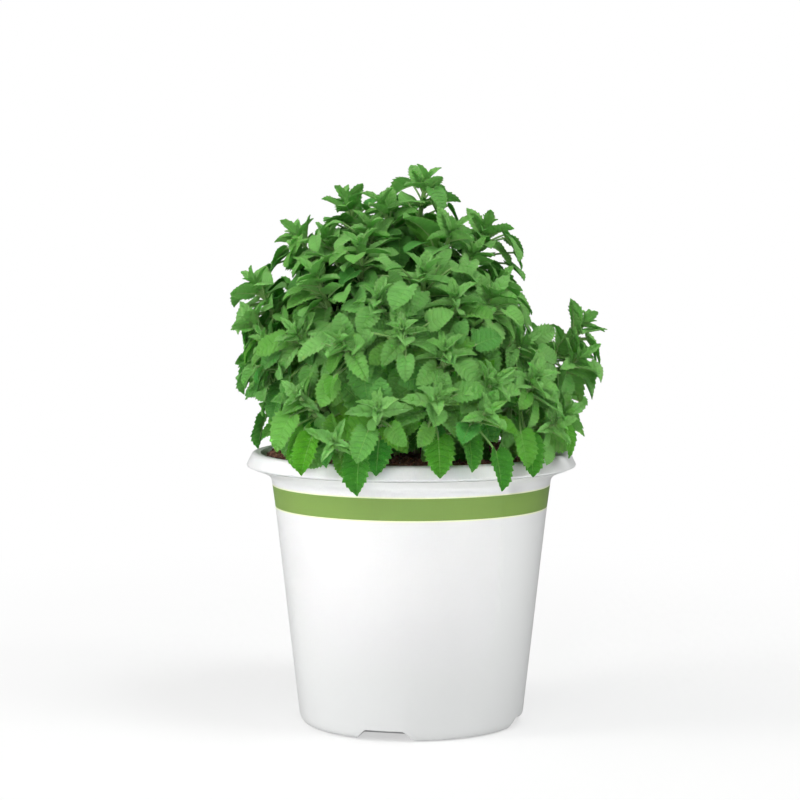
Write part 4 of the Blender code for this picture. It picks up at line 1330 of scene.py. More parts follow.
def build_pot(settings):
    """The moulded pot: wall, rolled rim, floor, and four arches with a drain hole over each."""
    pot = turned_solid("nursery_pot", WALL_OUTSIDE_MM, settings.sides)
    cavity = turned_solid("cavity", CAVITY_MM, settings.sides)
    cut_round_arches(cavity, 0.0)
    cut(pot, cavity)
    for turn_deg in ARCH_TURNS_DEG:
        cut(pot, arch_cutter(turn_deg, 0.0, ARCH_ROUNDING))
        turn = math.radians(turn_deg)
        place = (DRAIN_PLACE * math.cos(turn), DRAIN_PLACE * math.sin(turn), ARCH_HEIGHT + MM)
        bpy.ops.object.select_all(action="DESELECT")
        bpy.ops.mesh.primitive_cylinder_add(
            vertices=32, radius=DRAIN_RADIUS, depth=DRAIN_DEPTH, location=place
        )
        cut(pot, bpy.context.object)
    only(pot)
    bpy.ops.object.mode_set(mode="EDIT")
    bpy.ops.mesh.select_all(action="SELECT")
    bpy.ops.mesh.remove_doubles(threshold=0.00001)
    bpy.ops.object.mode_set(mode="OBJECT")
    finish_turned(pot, POT_CREASE_DEG, pot_plastic(settings), "pot", "pot")


# The potting mix


def mix_height(x, y):
    """The height of the mix's lumpy top at a place, in metres. It rises a little at the wall."""
    place = Vector((x, y, 0))
    lumps = 0.0
    for fineness, start, share in MIX_LUMPS:
        lumps += noise.noise(place * fineness + Vector(start)) * share
    reach = math.hypot(x, y) / SOIL_TOP_RADIUS
    return SOIL_TOP + MIX_RISE + lumps * LUMP_HEIGHT_MM * MM + EDGE_RISE * max(0.0, reach - 0.9) / 0.1


def build_mix(settings):
    """The body of the mix, turned to the pot's inside, with a finely lumped top."""
    rings = settings.top_rings
    top = [(SOIL_TOP_RADIUS / MM * (1 - (i / rings)) + 0.02, SOIL_TOP / MM) for i in range(rings + 1)]
    mix = turned_solid("peat_mix", [*SOIL_EDGE_MM, *top], settings.top_sides)
    cut_round_arches(mix, FIT_GAP)
    for vertex in mix.data.vertices:
        if vertex.co.z > SOIL_TOP - 0.05 * MM:
            vertex.co.z = mix_height(vertex.co.x, vertex.co.y)
    peat = earth_finish("moist_peat", settings.peat_dark, settings.peat_brown, 0.75, 1300.0, 0.35 * MM)
    finish_turned(mix, MIX_CREASE_DEG, peat, "potting_mix", "soil")


def mix_places(count, rng, inner_share):
    """Places on the top of the mix, more of them towards the wall, where they show."""
    for _ in range(count):
        reach = SCATTER_RADIUS * math.sqrt(rng.uniform(inner_share, 1.0))
        turn = rng.uniform(0, 2 * math.pi)
        x, y = reach * math.cos(turn), reach * math.sin(turn)
        yield Vector((x, y, mix_height(x, y)))


def lump_points():
    """The twelve corners and twenty faces of a plain lump. A face joins three corners that are close."""
    gold = (1 + math.sqrt(5)) / 2
    corners = []
    for a in (-1, 1):
        for b in (-gold, gold):
            corners += [Vector((0, a, b)), Vector((a, b, 0)), Vector((b, 0, a))]
    corners = [corner.normalized() for corner in corners]
    faces = []
    for i, j, k in combinations(range(12), 3):
        a, b, c = corners[i], corners[j], corners[k]
        if max((a - b).length, (b - c).length, (c - a).length) < 1.2:
            outwards = (b - a).cross(c - a).dot(a) > 0
            faces.append((i, j, k) if outwards else (i, k, j))
    return corners, faces


LUMP = lump_points()


def add_lump(heap, place, sizes, rough, tone, rng):
    """One broken crumb or grain, turned and dented at random."""
    corners, faces = LUMP
    turn = Euler([rng.uniform(0, 6.283) for _ in range(3)]).to_matrix()
    points = []
    for corner in corners:
        dent = rng.uniform(1 - rough, 1 + rough)
        points.append(place + turn @ Vector([c * s * dent for c, s in zip(corner, sizes)]))
    heap.add(points, faces, 0, tone, 0.5)


def build_crumbs(settings):
    """Crumbs of peat and chips of bark on the top of the mix."""
    rng = random.Random(settings.seed)
    heap = Heap()
    for place in mix_places(settings.crumbs, rng, 0.12):
        size = rng.uniform(*CRUMB_MM) * MM * (BIG_CRUMB if rng.random() < BIG_CRUMB_SHARE else 1.0)
        sizes = [size * rng.uniform(0.6, 1.25) for _ in range(3)]
        add_lump(heap, place + UP * size * 0.15, sizes, 0.28, rng.random(), rng)
    for place in mix_places(settings.chips, rng, 0.2):
        size = rng.uniform(*CHIP_MM) * MM
        sizes = [size, size * 0.45, size * 0.28]
        add_lump(heap, place + UP * size * 0.12, sizes, 0.2, rng.uniform(0.5, 1.0), rng)
    bark = earth_finish("peat_crumb", settings.peat_dark, settings.bark_brown, 0.7, 2200.0, 0.15 * MM)
    finish_piece(heap.make("mix_crumbs", [bark], math.radians(35)), "potting_mix")


def build_fibres(settings):
    """Bent fibres of peat and coir that lie on and in the mix."""
    rng = random.Random(settings.seed + 1)
    heap = Heap()
    for place in mix_places(settings.fibres, rng, 0.15):
        turn = rng.uniform(0, 2 * math.pi)
        run = Vector((math.cos(turn), math.sin(turn), rng.uniform(-0.12, 0.3)))
        length = rng.uniform(*FIBRE_MM) * MM
        bow = Vector([rng.uniform(-0.25, 0.25) for _ in range(3)]) * length
        start, end = place - run * length / 2, place + run * length / 2
        path = interpolate_bezier(start, place + bow, place + bow * 0.6 + UP * 0.3 * MM, end, 5)
        reach = max(point.xy.length for point in path)
        lowest = min(point.z - mix_height(point.x, point.y) for point in path)
        if reach > SOIL_TOP_RADIUS - 0.4 * MM or lowest < -MM:
            continue
        radius = rng.uniform(*FIBRE_RADIUS_MM) * MM
        points, faces = tube(path, [radius * share for share in FIBRE_TAPER], round_section(4))
        heap.add(points, faces, 0, rng.random(), 0.5)
    coir = earth_finish("coir_fibre", settings.bark_brown, settings.fibre_tan, 0.6, 3000.0, 0.05 * MM)
    finish_piece(heap.make("mix_fibres", [coir], math.radians(60)), "potting_mix")


def build_perlite(settings):
    """A few white grains of perlite."""
    rng = random.Random(settings.seed + 2)
    heap = Heap()
    for place in mix_places(settings.grains, rng, 0.25):
        size = rng.uniform(*GRAIN_MM) * MM
        sizes = [size, size * 0.85, size * 0.75]
        add_lump(heap, place + UP * size * 0.35, sizes, 0.14, rng.random(), rng)
    white = earth_finish("perlite_grain", PERLITE_GREY, PERLITE_WHITE, 0.7, 2500.0, 0.08 * MM)
    finish_piece(heap.make("mix_perlite", [white], math.radians(45)), "potting_mix")


# Shader nodes

FLOAT, COLOUR = "NodeSocketFloat", "NodeSocketColor"


def feed(tree, socket, value):
    """Links a socket to another, or sets it. A colour of three numbers is made opaque."""
    if isinstance(value, bpy.types.NodeSocket):
        tree.links.new(value, socket)
    elif socket.type == "RGBA" and len(value) == 3:
        socket.default_value = (*value, 1.0)
    else:
        socket.default_value = value


def add(tree, kind, inputs=None, **settings):
    """A node with its settings and inputs."""
    node = tree.nodes.new(kind)
    for key, value in settings.items():
        setattr(node, key, value)
    for key, value in (inputs or {}).items():
        feed(tree, node.inputs[key], value)
    return node


def sums(tree, operation, a, b=0.0):
    return add(tree, "ShaderNodeMath", {0: a, 1: b}, operation=operation).outputs[0]


def times(tree, a, b):
    return sums(tree, "MULTIPLY", a, b)


def mixed(tree, mask, a, b, blend="MIX"):
    """Colour a, and colour b where the mask is 1."""
    return add(tree, "ShaderNodeMix", {0: mask, 6: a, 7: b}, data_type="RGBA", blend_type=blend).outputs[2]


def ranged(tree, value, low, high, to_low=0.0, to_high=1.0, smooth=False):
    """The value's share of the way from low to high, held at the ends."""
    kind = "SMOOTHSTEP" if smooth else "LINEAR"
    inputs = {0: value, 1: low, 2: high, 3: to_low, 4: to_high}
    return add(tree, "ShaderNodeMapRange", inputs, interpolation_type=kind, clamp=True).outputs[0]


def object_place(tree):
    return add(tree, "ShaderNodeTexCoord").outputs["Object"]


def face_value(tree, name):
    """The tone or the age that a face carries."""
    return add(tree, "ShaderNodeAttribute", attribute_name=name).outputs["Fac"]


def new_group(name, inputs, outputs):
    """A shader node group with its sockets, and its two ends."""
    group = bpy.data.node_groups.new(name, "ShaderNodeTree")
    for label, kind, value in inputs:
        socket = group.interface.new_socket(name=label, in_out="INPUT", socket_type=kind)
        socket.default_value = value
    for label, kind in outputs:
        group.interface.new_socket(name=label, in_out="OUTPUT", socket_type=kind)
    ends_in, ends_out = group.nodes.new("NodeGroupInput"), group.nodes.new("NodeGroupOutput")
    return group, ends_in.outputs, ends_out.inputs


def patches_group():
    """Soft patches and fine grain on Object coordinates, for finishes that aren't quite even."""
    scales = (("Patch Scale", FLOAT, 60.0), ("Grain Scale", FLOAT, 900.0))
    group, given, out = new_group("natural_patches", scales, (("Patches", FLOAT), ("Grain", FLOAT)))
    place = object_place(group)
    soft = {"Vector": place, "Scale": given["Patch Scale"], "Detail": 3.0}
    fine = {"Vector": place, "Scale": given["Grain Scale"], "Detail": 2.0}
    soft = add(group, "ShaderNodeTexNoise", soft).outputs["Fac"]
    fine = add(group, "ShaderNodeTexNoise", fine).outputs["Fac"]
    feed(group, out["Patches"], ranged(group, soft, 0.32, 0.68, smooth=True))
    feed(group, out["Grain"], ranged(group, fine, 0.3, 0.7))
    return group


def veins_group():
    """A blade's veins on its own map: u runs from margin to margin, and v from vein to vein."""
    labels = ("Rib", "Veins", "Net", "Margin")
    group, _, out = new_group("leaf_veins", (), [(label, FLOAT) for label in labels])
    place = add(group, "ShaderNodeUVMap", uv_map="pattern").outputs["UV"]
    split = add(group, "ShaderNodeSeparateXYZ", {0: place}).outputs
    across = sums(group, "ABSOLUTE", sums(group, "SUBTRACT", times(group, split[0], 2.0), 1.0))
    along = sums(group, "FRACT", times(group, split[1], float(VEINS_TO_MAP)))
    from_vein = sums(group, "ABSOLUTE", sums(group, "SUBTRACT", along, 0.5))
    veins = ranged(group, from_vein, 0.13, 0.02, smooth=True)
    cells = add(group, "ShaderNodeTexVoronoi", {"Vector": place, "Scale": 60.0}, feature="DISTANCE_TO_EDGE")
    feed(group, out["Rib"], ranged(group, across, 0.075, 0.02, smooth=True))
    feed(group, out["Veins"], times(group, veins, ranged(group, across, 1.0, 0.55)))
    feed(group, out["Net"], ranged(group, cells.outputs["Distance"], 0.11, 0.02, smooth=True))
    feed(group, out["Margin"], ranged(group, across, 0.9, 1.0))
    return group


def tint_group():
    """The green of a leaf from its age, which for the leaves at the right carries painted light, and its own
    tone.
    """
    greens = [(label, COLOUR, (0, 0, 0, 1)) for label in ("Young", "Grown", "Warm", "Cool")]
    group, given, out = new_group("leaf_tint", greens, [("Green", COLOUR)])
    age = face_value(group, "age")
    tone = face_value(group, "tone")
    green = mixed(group, sums(group, "POWER", age, 0.65), given["Young"], given["Grown"])
    strength = ranged(group, age, 0.05, 0.5, 0.15, 1.0)
    for label, start, full in (("Warm", 0.66, 1.0), ("Cool", 0.40, 0.0)):
        share = times(group, ranged(group, tone, start, full, 0.0, 0.75), strength)
        green = mixed(group, share, green, given[label])
    feed(group, out["Green"], green)
    return group


GROUP_MAKERS = {"natural_patches": patches_group, "leaf_veins": veins_group, "leaf_tint": tint_group}


def use_group(tree, name, inputs=None):
    """The outputs of a node group, which is made once and placed in every material that needs it."""
    group = bpy.data.node_groups.get(name) or GROUP_MAKERS[name]()
    return add(tree, "ShaderNodeGroup", inputs, node_tree=group).outputs


def natural_patches(tree, patch_scale, grain_scale):
    return use_group(tree, "natural_patches", {"Patch Scale": patch_scale, "Grain Scale": grain_scale})


def finished(name, make_surface, relief_strength=0.0, relief_depth=0.0, **constants):
    """A material whose colour, roughness and relief come from a function, with its plain sockets set."""
    material = bpy.data.materials.new(name)
    material.use_nodes = True
    tree = material.node_tree
    shader = tree.nodes["Principled BSDF"]
    colour, rough, relief = make_surface(tree)
    feed(tree, shader.inputs["Base Color"], colour)
    feed(tree, shader.inputs["Roughness"], rough)
    if relief:
        inputs = {"Height": relief, "Strength": relief_strength, "Distance": relief_depth}
        feed(tree, shader.inputs["Normal"], add(tree, "ShaderNodeBump", inputs).outputs["Normal"])
    for socket, value in constants.items():
        shader.inputs[socket.replace("_", " ")].default_value = value
    return material


def leaf_finish(name, settings, under):
    """The soft, finely haired surface of a blade, above or below."""

    def surface(tree):
        green = use_group(tree, "leaf_tint", {
            "Young": settings.young_green, "Grown": settings.grown_green,
            "Warm": settings.warm_green, "Cool": settings.cool_green,
        })["Green"]
        veins = use_group(tree, "leaf_veins")
        patches = natural_patches(tree, 110.0, 1500.0)
        darker = mixed(tree, 1.0, green, (0.80, 0.84, 0.78), "MULTIPLY")
        green = mixed(tree, times(tree, patches["Patches"], 0.8), green, darker)
        if under:
            green = mixed(tree, 0.42, green, settings.underside_green)
            side_vein_and_groove_shade = ("Veins", 0.40, settings.vein_green)
        else:
            # Painted shade: on the upper face the sunken side veins are darkened, as shade in their grooves
            side_vein_and_groove_shade = ("Veins", 0.26, mixed(tree, 1.0, green, (0.50, 0.60, 0.50), "MULTIPLY"))
        for label, share, colour in (
            side_vein_and_groove_shade, ("Rib", 0.45, settings.vein_green), ("Net", 0.16, settings.vein_green),
            ("Margin", 0.25, settings.margin_green),
        ):
            green = mixed(tree, times(tree, veins[label], share), green, colour)
        relief = sums(tree, "ADD", times(tree, veins["Veins"], 0.8), times(tree, veins["Net"], 0.45))
        relief = sums(tree, "ADD", relief, times(tree, patches["Grain"], 0.35))
        return green, ranged(tree, patches["Grain"], 0.0, 1.0, 0.52, 0.66), relief

    return finished(
        name, surface, 0.9, (0.20 if under else -0.30) * MM,
        Subsurface_Weight=0.3, Subsurface_Radius=(0.35, 1.0, 0.2), Subsurface_Scale=0.5 * MM,
        Specular_IOR_Level=0.09, Sheen_Weight=0.03, Sheen_Roughness=0.42, Sheen_Tint=(0.80, 0.95, 0.70, 1),
    )


def stalk_finish(settings):
    """Stems and petioles: pale green when young, red-brown low down, with fine streaks."""

    def surface(tree):
        patches = natural_patches(tree, 160.0, 1800.0)
        aged = sums(tree, "ADD", face_value(tree, "age"), times(tree, patches["Patches"], 0.25))
        green = mixed(tree, ranged(tree, aged, 0.1, 0.6), settings.stalk_young, settings.stalk_green)
        colour = mixed(tree, ranged(tree, aged, 0.75, 1.25, 0.0, 0.7), green, settings.stalk_red)
        return colour, ranged(tree, patches["Grain"], 0.0, 1.0, 0.5, 0.7), patches["Grain"]

    return finished(
        "downy_stalk", surface, 0.4, 0.05 * MM, Specular_IOR_Level=0.35, Sheen_Weight=0.35,
        Sheen_Roughness=0.4, Sheen_Tint=(0.92, 0.97, 0.86, 1),
    )


def hair_finish(settings):
    """The pale, slightly clear hairs."""

    def surface(tree):
        patches = use_group(tree, "natural_patches")
        return mixed(tree, patches["Patches"], settings.hair_colour, (0.62, 0.74, 0.50)), 0.45, None

    return finished("downy_hair", surface, Specular_IOR_Level=0.4)


def pot_plastic(settings):
    """Glossy white moulded plastic, with the printed stripe and its pale edge lines under the rim."""

    def surface(tree):
        split = add(tree, "ShaderNodeSeparateXYZ", {0: object_place(tree)}).outputs
        height = split[2]
        level = add(tree, "ShaderNodeCombineXYZ", {0: split[0], 1: split[1]}).outputs[0]
        reach = add(tree, "ShaderNodeVectorMath", {0: level}, operation="LENGTH").outputs["Value"]
        from_wall = sums(tree, "SUBTRACT", reach, times(tree, height, WALL_SLOPE))
        outer = ranged(tree, from_wall, 37.9 * MM, 38.1 * MM)
        patches = natural_patches(tree, 22.0, 2600.0)

        def band(low, high, soft=0.04 * MM):
            above = ranged(tree, height, low - soft, low + soft)
            below = ranged(tree, height, high + soft, high - soft)
            return times(tree, times(tree, above, below), outer)

        low, high, line = settings.stripe_low, settings.stripe_high, settings.stripe_line
        stripe = band(low, high)
        lines = sums(tree, "MAXIMUM", band(low - line, low), band(high, high + line))
        uneven = times(tree, patches["Patches"], 0.5)
        white = mixed(tree, uneven, settings.plastic_white, settings.plastic_shade)
        uneven = times(tree, patches["Patches"], 0.35)
        green = mixed(tree, uneven, settings.stripe_green, settings.stripe_deep)
        colour = mixed(tree, stripe, mixed(tree, lines, white, settings.line_colour), green)
        rough = ranged(tree, patches["Grain"], 0.0, 1.0, 0.30, 0.37)
        rough = sums(tree, "ADD", rough, times(tree, stripe, 0.05))
        relief = sums(tree, "ADD", times(tree, patches["Grain"], 0.5), times(tree, stripe, 2.0))
        return colour, rough, relief

    return finished("white_moulded_plastic", surface, 0.25, 0.02 * MM, Specular_IOR_Level=0.5, IOR=1.49)


def earth_finish(name, dark, light, least_rough, grain_scale, depth):
    """One of the mix's finishes: a dark and a light colour by tone and patches, on a broken surface."""

    def surface(tree):
        patches = natural_patches(tree, 350.0, grain_scale)
        share = times(tree, face_value(tree, "tone"), 0.65)
        share = sums(tree, "ADD", share, times(tree, patches["Patches"], 0.35))
        rough = ranged(tree, patches["Grain"], 0.0, 1.0, least_rough, 0.98)
        return mixed(tree, share, dark, light), rough, patches["Grain"]

    return finished(name, surface, 0.8, depth, Specular_IOR_Level=0.25)


# What a user would change


def colour_property(name, description, default):
    return bpy.props.FloatVectorProperty(
        name=name, description=description, subtype="COLOR", size=3, min=0.0, max=1.0, default=default
    )


def number_property(name, description, default, unit="NONE"):
    return bpy.props.FloatProperty(
        name=name, description=description, unit=unit, precision=5, min=0.0, default=default
    )


def length_property(name, description, default):
    return number_property(name, description, default, "LENGTH")


def power_property(name, description, default):
    return number_property(name, description, default, "POWER")


def count_property(name, description, default, least=0):
    return bpy.props.IntProperty(name=name, description=description, min=least, default=default)


def share_property(name, description, default):
    return bpy.props.FloatProperty(name=name, description=description, min=0.5, max=1.0, default=default)


class CatnipPotSettings(bpy.types.PropertyGroup):
    """The pot's finish and fineness"""

    sides: count_property("Sides", "How many sides the round pot has", 160, 24)
    stripe_low: length_property("Stripe low edge", "Height of the printed stripe's lower edge", 75.2 * MM)
    stripe_high: length_property("Stripe high edge", "Height of the printed stripe's upper edge", 82.6 * MM)
    stripe_line: length_property("Edge line", "Width of the pale line along the stripe", 0.42 * MM)
    plastic_white: colour_property("Plastic", "The moulded plastic", (0.80, 0.81, 0.81))
    plastic_shade: colour_property("Plastic, uneven", "The plastic where it is duller", (0.77, 0.78, 0.78))
    stripe_green: colour_property("Stripe", "The printed stripe", (0.205, 0.340, 0.070))
    stripe_deep: colour_property("Stripe, uneven", "The print where it is thicker", (0.185, 0.315, 0.060))
    line_colour: colour_property("Edge line colour", "The pale line along the stripe", (0.86, 0.90, 0.62))


class CatnipMixSettings(bpy.types.PropertyGroup):
    """The potting mix"""

    seed: count_property("Seed", "Picks another scatter of crumbs and fibres", 21)
    top_rings: count_property("Rings", "How many rings the top of the mix has", 52)
    top_sides: count_property("Sides", "How many sides the top of the mix has", 200)
    crumbs: count_property("Crumbs", "How many crumbs of peat lie on the mix", 2600)
    chips: count_property("Chips", "How many chips of bark lie on the mix", 260)
    fibres: count_property("Fibres", "How many fibres lie on the mix", 700)
    grains: count_property("Perlite", "How many white grains lie on the mix", 46)
    peat_dark: colour_property("Peat, dark", "Moist peat", (0.045, 0.020, 0.014))
    peat_brown: colour_property("Peat, brown", "Drier peat", (0.150, 0.062, 0.042))
    bark_brown: colour_property("Bark", "Chips of bark", (0.210, 0.090, 0.060))
    fibre_tan: colour_property("Fibre", "Fibres of coir", (0.36, 0.21, 0.13))


class CatnipLeafSettings(bpy.types.PropertyGroup):
    """The leaves and stems"""

    leaf_thickness: length_property("Thickness", "How thick a blade is", 0.24 * MM)
    quilt_depth: length_property("Quilting", "How deep the veins are sunk in the blade", 0.42 * MM)
    leaf_length: share_property("Length", "Length of a blade, as a share of its coarse form's", 0.83)
    leaf_width: share_property("Width", "Width of a blade, as a share of its coarse form's", 0.78)
    hair_length: length_property("Hair length", "Length of the hairs on the young stems", 0.65 * MM)
    hairs_per_ring: count_property("Hairs", "How many hairs stand on each short length of young stem", 7)
    young_green: colour_property("Young leaf", "The smallest leaves at the tips", (0.412, 0.890, 0.250))
    grown_green: colour_property("Grown leaf", "The largest leaves", (0.031, 0.244, 0.010))
    warm_green: colour_property("Warm leaf", "Leaves that are more yellow", (0.142, 0.525, 0.011))
    cool_green: colour_property("Cool leaf", "Leaves that are more blue", (0.028, 0.325, 0.039))
    underside_green: colour_property("Underside", "The paler underside of a blade", (0.170, 0.500, 0.090))
    vein_green: colour_property("Veins", "The ribs and veins", (0.240, 0.560, 0.120))
    margin_green: colour_property("Margin", "The very edge of a blade", (0.180, 0.460, 0.080))
    stalk_young: colour_property("Young stalk", "Stems and petioles near the tips", (0.300, 0.520, 0.160))
    stalk_green: colour_property("Grown stalk", "Stems half way down", (0.130, 0.330, 0.050))
    stalk_red: colour_property("Old stalk", "Stems near the mix", (0.150, 0.090, 0.045))
    hair_colour: colour_property("Hair", "The fine hairs", (0.78, 0.86, 0.70))


class CatnipStageSettings(bpy.types.PropertyGroup):
    """The studio and the camera"""

    floor_colour: colour_property("Floor", "The pale floor", (0.93, 0.93, 0.93))
    backdrop: number_property("Backdrop", "Brightness behind the plant", 1.0)
    ambient: number_property("Ambient", "Light from the left and the front", 0.30)
    overhead: number_property("Overhead", "Light from above", 0.52)
    key_power: power_property("Key", "Power of the light high at the left", 5.2)
    strip_power: power_property("Strip", "Power of the broad light low at the left", 2.6)
    fill_power: power_property("Fill", "Power of the light high over the right front", 5.0)
    side_power: power_property("Side", "Power of the light at the right", 3.6)
    front_power: power_property("Front", "Power of the light in front", 1.5)
    rim_power: power_property("Rim", "Power of the narrow light on the pot's rim", 0.031)
    camera_place: bpy.props.FloatVectorProperty(
        name="Camera", description="Where the camera stands", subtype="TRANSLATION", size=3, precision=5,
        default=(-0.0039, -0.78935, 0.16775),
    )
    camera_tilt: bpy.props.FloatProperty(
        name="Tilt", description="How far the camera looks down", subtype="ANGLE", default=0.071
    )
    lens: bpy.props.FloatProperty(
        name="Lens", description="Focal length on a 36 mm frame", unit="CAMERA", min=1.0, default=102.683
    )


# The studio

WHITE = (1.0, 1.0, 1.0)
MIDDLE = (0, 0, 0.11)
# Each light: its name, its place, what it looks at, its width and height, its spread, and its colour
LIGHTS = (
    ("key", (-1.15, -0.42, 0.95), MIDDLE, (0.42, 0.42), 180, (1.0, 0.99, 0.97)),
    ("strip", (-1.0, -0.15, 0.30), MIDDLE, (0.9, 0.7), 180, WHITE),
    ("fill", (0.45, -0.42, 1.40), MIDDLE, (0.42, 0.42), 180, (0.97, 0.99, 1.0)),
    ("side", (0.90, -0.60, 1.05), (0.03, 0, 0.15), (0.35, 0.35), 180, (1.0, 1.0, 0.97)),
    ("front", (-0.50, -1.05, 0.72), MIDDLE, (0.6, 0.4), 180, WHITE),
    ("rim", (-0.20, -1.15, 0.30), (0, -0.05, 0.088), (0.3, 0.03), 7, WHITE),
)
FLOOR_SIZE = 8.0
FLOOR_LEVEL = -0.0002
# The floor goes over into white between these distances, and looks this bright in the glossy plastic
FLOOR_FADES = (0.05, 0.45)
MIRRORED = 0.16
# The direction in which the air is brightest
AIR_LEAN = (-0.78, -0.45)


def hang_lights(settings):
    """The soft lights, each of which looks at a point."""
    for name, place, target, size, spread_deg, colour in LIGHTS:
        bpy.ops.object.light_add(type="AREA", location=place)
        light = bpy.context.object
        light.name = name + "_light"
        light.rotation_euler = (Vector(target) - Vector(place)).to_track_quat("-Z", "Y").to_euler()
        light.data.shape = "RECTANGLE"
        light.data.size, light.data.size_y = size
        light.data.spread = math.radians(spread_deg)
        light.data.energy = getattr(settings, name + "_power")
        light.data.color = colour


def lit(tree, kind, strength):
    """A white node that sends out light."""
    return add(tree, kind, {"Color": WHITE, "Strength": strength}).outputs[0]


def either(tree, share, a, b):
    """Surface a, and surface b where the share is 1."""
    return add(tree, "ShaderNodeMixShader", {0: share, 1: a, 2: b}).outputs[0]


def ray_is(tree, kind):
    return add(tree, "ShaderNodeLightPath").outputs[f"Is {kind} Ray"]


def pale_floor(settings):
    """A pale matt floor that goes over into the white behind the plant, so that no horizon shows."""

    def surface(tree):
        return settings.floor_colour, 0.9, None

    material = finished("pale_floor", surface, Specular_IOR_Level=0.1)
    tree = material.node_tree
    matt = tree.nodes["Principled BSDF"].outputs[0]
    reach = add(tree, "ShaderNodeVectorMath", {0: object_place(tree)}, operation="LENGTH").outputs["Value"]
    beyond = ranged(tree, reach, *FLOOR_FADES, 0.5, 1.0, smooth=True)
    beyond = times(tree, beyond, ranged(tree, ray_is(tree, "Camera"), 0.0, 1.0, 0.25, 1.0))
    seen = either(tree, beyond, matt, lit(tree, "ShaderNodeEmission", settings.backdrop))
    mirrored = lit(tree, "ShaderNodeEmission", MIRRORED)
    whole = either(tree, ray_is(tree, "Glossy"), seen, mirrored)
    feed(tree, tree.nodes["Material Output"].inputs["Surface"], whole)
    return material


def light_air(scene, settings):
    """White air that lights the plant from above and from the left front."""
    world = bpy.data.worlds.new("studio_air")
    scene.world = world
    world.use_nodes = True
    air = world.node_tree
    air.nodes.clear()
    place = add(air, "ShaderNodeTexCoord").outputs["Generated"]
    towards = add(air, "ShaderNodeSeparateXYZ", {0: place}).outputs
    lean = sums(air, "ADD", times(air, towards[0], AIR_LEAN[0]), times(air, towards[1], AIR_LEAN[1]))
    side = ranged(air, lean, -0.9, 0.9, settings.ambient * 0.2, settings.ambient)
    strength = sums(air, "ADD", side, ranged(air, towards[2], 0.0, 1.0, 0.0, settings.overhead))
    cast = lit(air, "ShaderNodeBackground", strength)
    seen = lit(air, "ShaderNodeBackground", settings.backdrop)
    add(air, "ShaderNodeOutputWorld", {"Surface": either(air, ray_is(air, "Camera"), cast, seen)})


def set_stage(scene, settings):
    """The floor, the lights, the white air and the camera."""
    bpy.ops.object.select_all(action="DESELECT")
    bpy.ops.mesh.primitive_plane_add(size=FLOOR_SIZE, location=(0, 0, FLOOR_LEVEL))
    floor = bpy.context.object
    floor.name = "studio_floor"
    floor.data.materials.append(pale_floor(settings))
    hang_lights(settings)
    light_air(scene, settings)
    turn = (math.pi / 2 - settings.camera_tilt, 0, 0)
    bpy.ops.object.camera_add(location=settings.camera_place, rotation=turn)
    camera = bpy.context.object
    camera.name = "studio_camera"
    camera.data.sensor_width = 36.0
    camera.data.lens = settings.lens
    scene.camera = camera
    scene.view_settings.view_transform = "Standard"


# The operators


class CATNIP_OT_make_pot(bpy.types.Operator):
    """Turn the pot from its outline, cut its arches and drain holes, and finish it in printed plastic"""

    bl_idname = "catnip.make_pot"
    bl_label = "Make Pot"

    def execute(self, context):
        build_pot(context.scene.catnip_pot)
        return {"FINISHED"}


class CATNIP_OT_make_mix(bpy.types.Operator):
    """Fill the pot with potting mix, with crumbs, bark, fibres and perlite on its top"""

    bl_idname = "catnip.make_mix"
    bl_label = "Make Potting Mix"

    def execute(self, context):
        for build in (build_mix, build_crumbs, build_fibres, build_perlite):
            build(context.scene.catnip_mix)
        return {"FINISHED"}


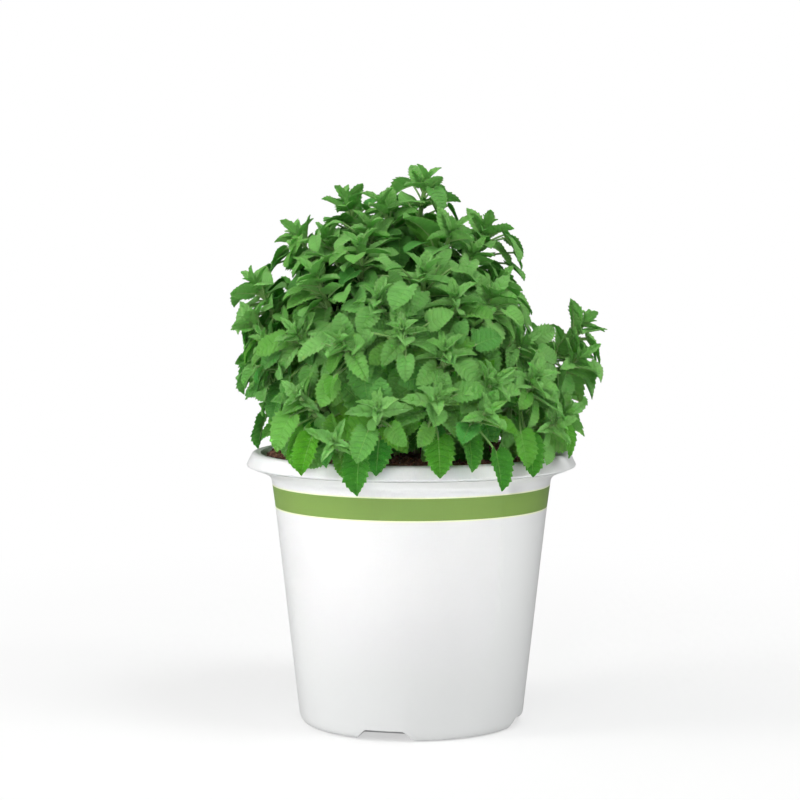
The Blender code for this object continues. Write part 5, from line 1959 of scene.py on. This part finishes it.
class CATNIP_OT_grow_plant(bpy.types.Operator):
    """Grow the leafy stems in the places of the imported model's stems, with their fine leaves and hairs"""

    bl_idname = "catnip.grow_plant"
    bl_label = "Grow Plant"

    def execute(self, context):
        settings = context.scene.catnip_leaves
        shoots = grow_shoots()
        coarse = grow_leaves(shoots, stand_obstacles(shoots))
        poses = [slim(pose, settings) for pose in coarse]
        fill = fill_leaves(shoots, poses, Envelope(shoots, coarse))
        forms = {name: LeafForm(*form) for name, form in LEAF_FORMS.items()}
        materials = [
            leaf_finish("leaf_face", settings, False), leaf_finish("leaf_underside", settings, True),
            stalk_finish(settings), hair_finish(settings),
        ]
        for name, _, _, _ in STEMS:
            build_stem(name, (shoots, poses, fill), forms, materials, settings)
        return {"FINISHED"}


class CATNIP_OT_set_stage(bpy.types.Operator):
    """Lay the pale floor, hang the soft lights and set up the camera"""

    bl_idname = "catnip.set_stage"
    bl_label = "Set Stage"

    def execute(self, context):
        set_stage(context.scene, context.scene.catnip_stage)
        return {"FINISHED"}


class CATNIP_PT_panel(bpy.types.Panel):
    """The steps that build the potted catnip, in order"""

    bl_idname = "CATNIP_PT_panel"
    bl_label = "Potted Catnip"
    bl_space_type = "VIEW_3D"
    bl_region_type = "UI"
    bl_category = "Catnip"

    def draw(self, context):
        layout = self.layout
        for step in STEPS:
            layout.operator(step.bl_idname)
        for label, key in SETTINGS:
            box = layout.box()
            box.label(text=label)
            group = getattr(context.scene, key)
            for name in group.__annotations__:
                box.prop(group, name)


STEPS = (CATNIP_OT_make_pot, CATNIP_OT_make_mix, CATNIP_OT_grow_plant, CATNIP_OT_set_stage)
SETTINGS = (
    ("Pot", "catnip_pot"), ("Potting mix", "catnip_mix"), ("Leaves", "catnip_leaves"),
    ("Studio", "catnip_stage"),
)
GROUPS = (CatnipPotSettings, CatnipMixSettings, CatnipLeafSettings, CatnipStageSettings)


def register():
    for group, (_, key) in zip(GROUPS, SETTINGS):
        bpy.utils.register_class(group)
        setattr(bpy.types.Scene, key, bpy.props.PointerProperty(type=group))
    for kind in (*STEPS, CATNIP_PT_panel):
        bpy.utils.register_class(kind)


def unregister():
    for kind in (CATNIP_PT_panel, *reversed(STEPS)):
        bpy.utils.unregister_class(kind)
    for group, (_, key) in zip(GROUPS, SETTINGS):
        delattr(bpy.types.Scene, key)
        bpy.utils.unregister_class(group)


def main():
    """Builds every piece and the studio."""
    register()
    bpy.ops.catnip.make_pot()
    bpy.ops.catnip.make_mix()
    bpy.ops.catnip.grow_plant()
    bpy.ops.catnip.set_stage()


if __name__ == "__main__":
    main()
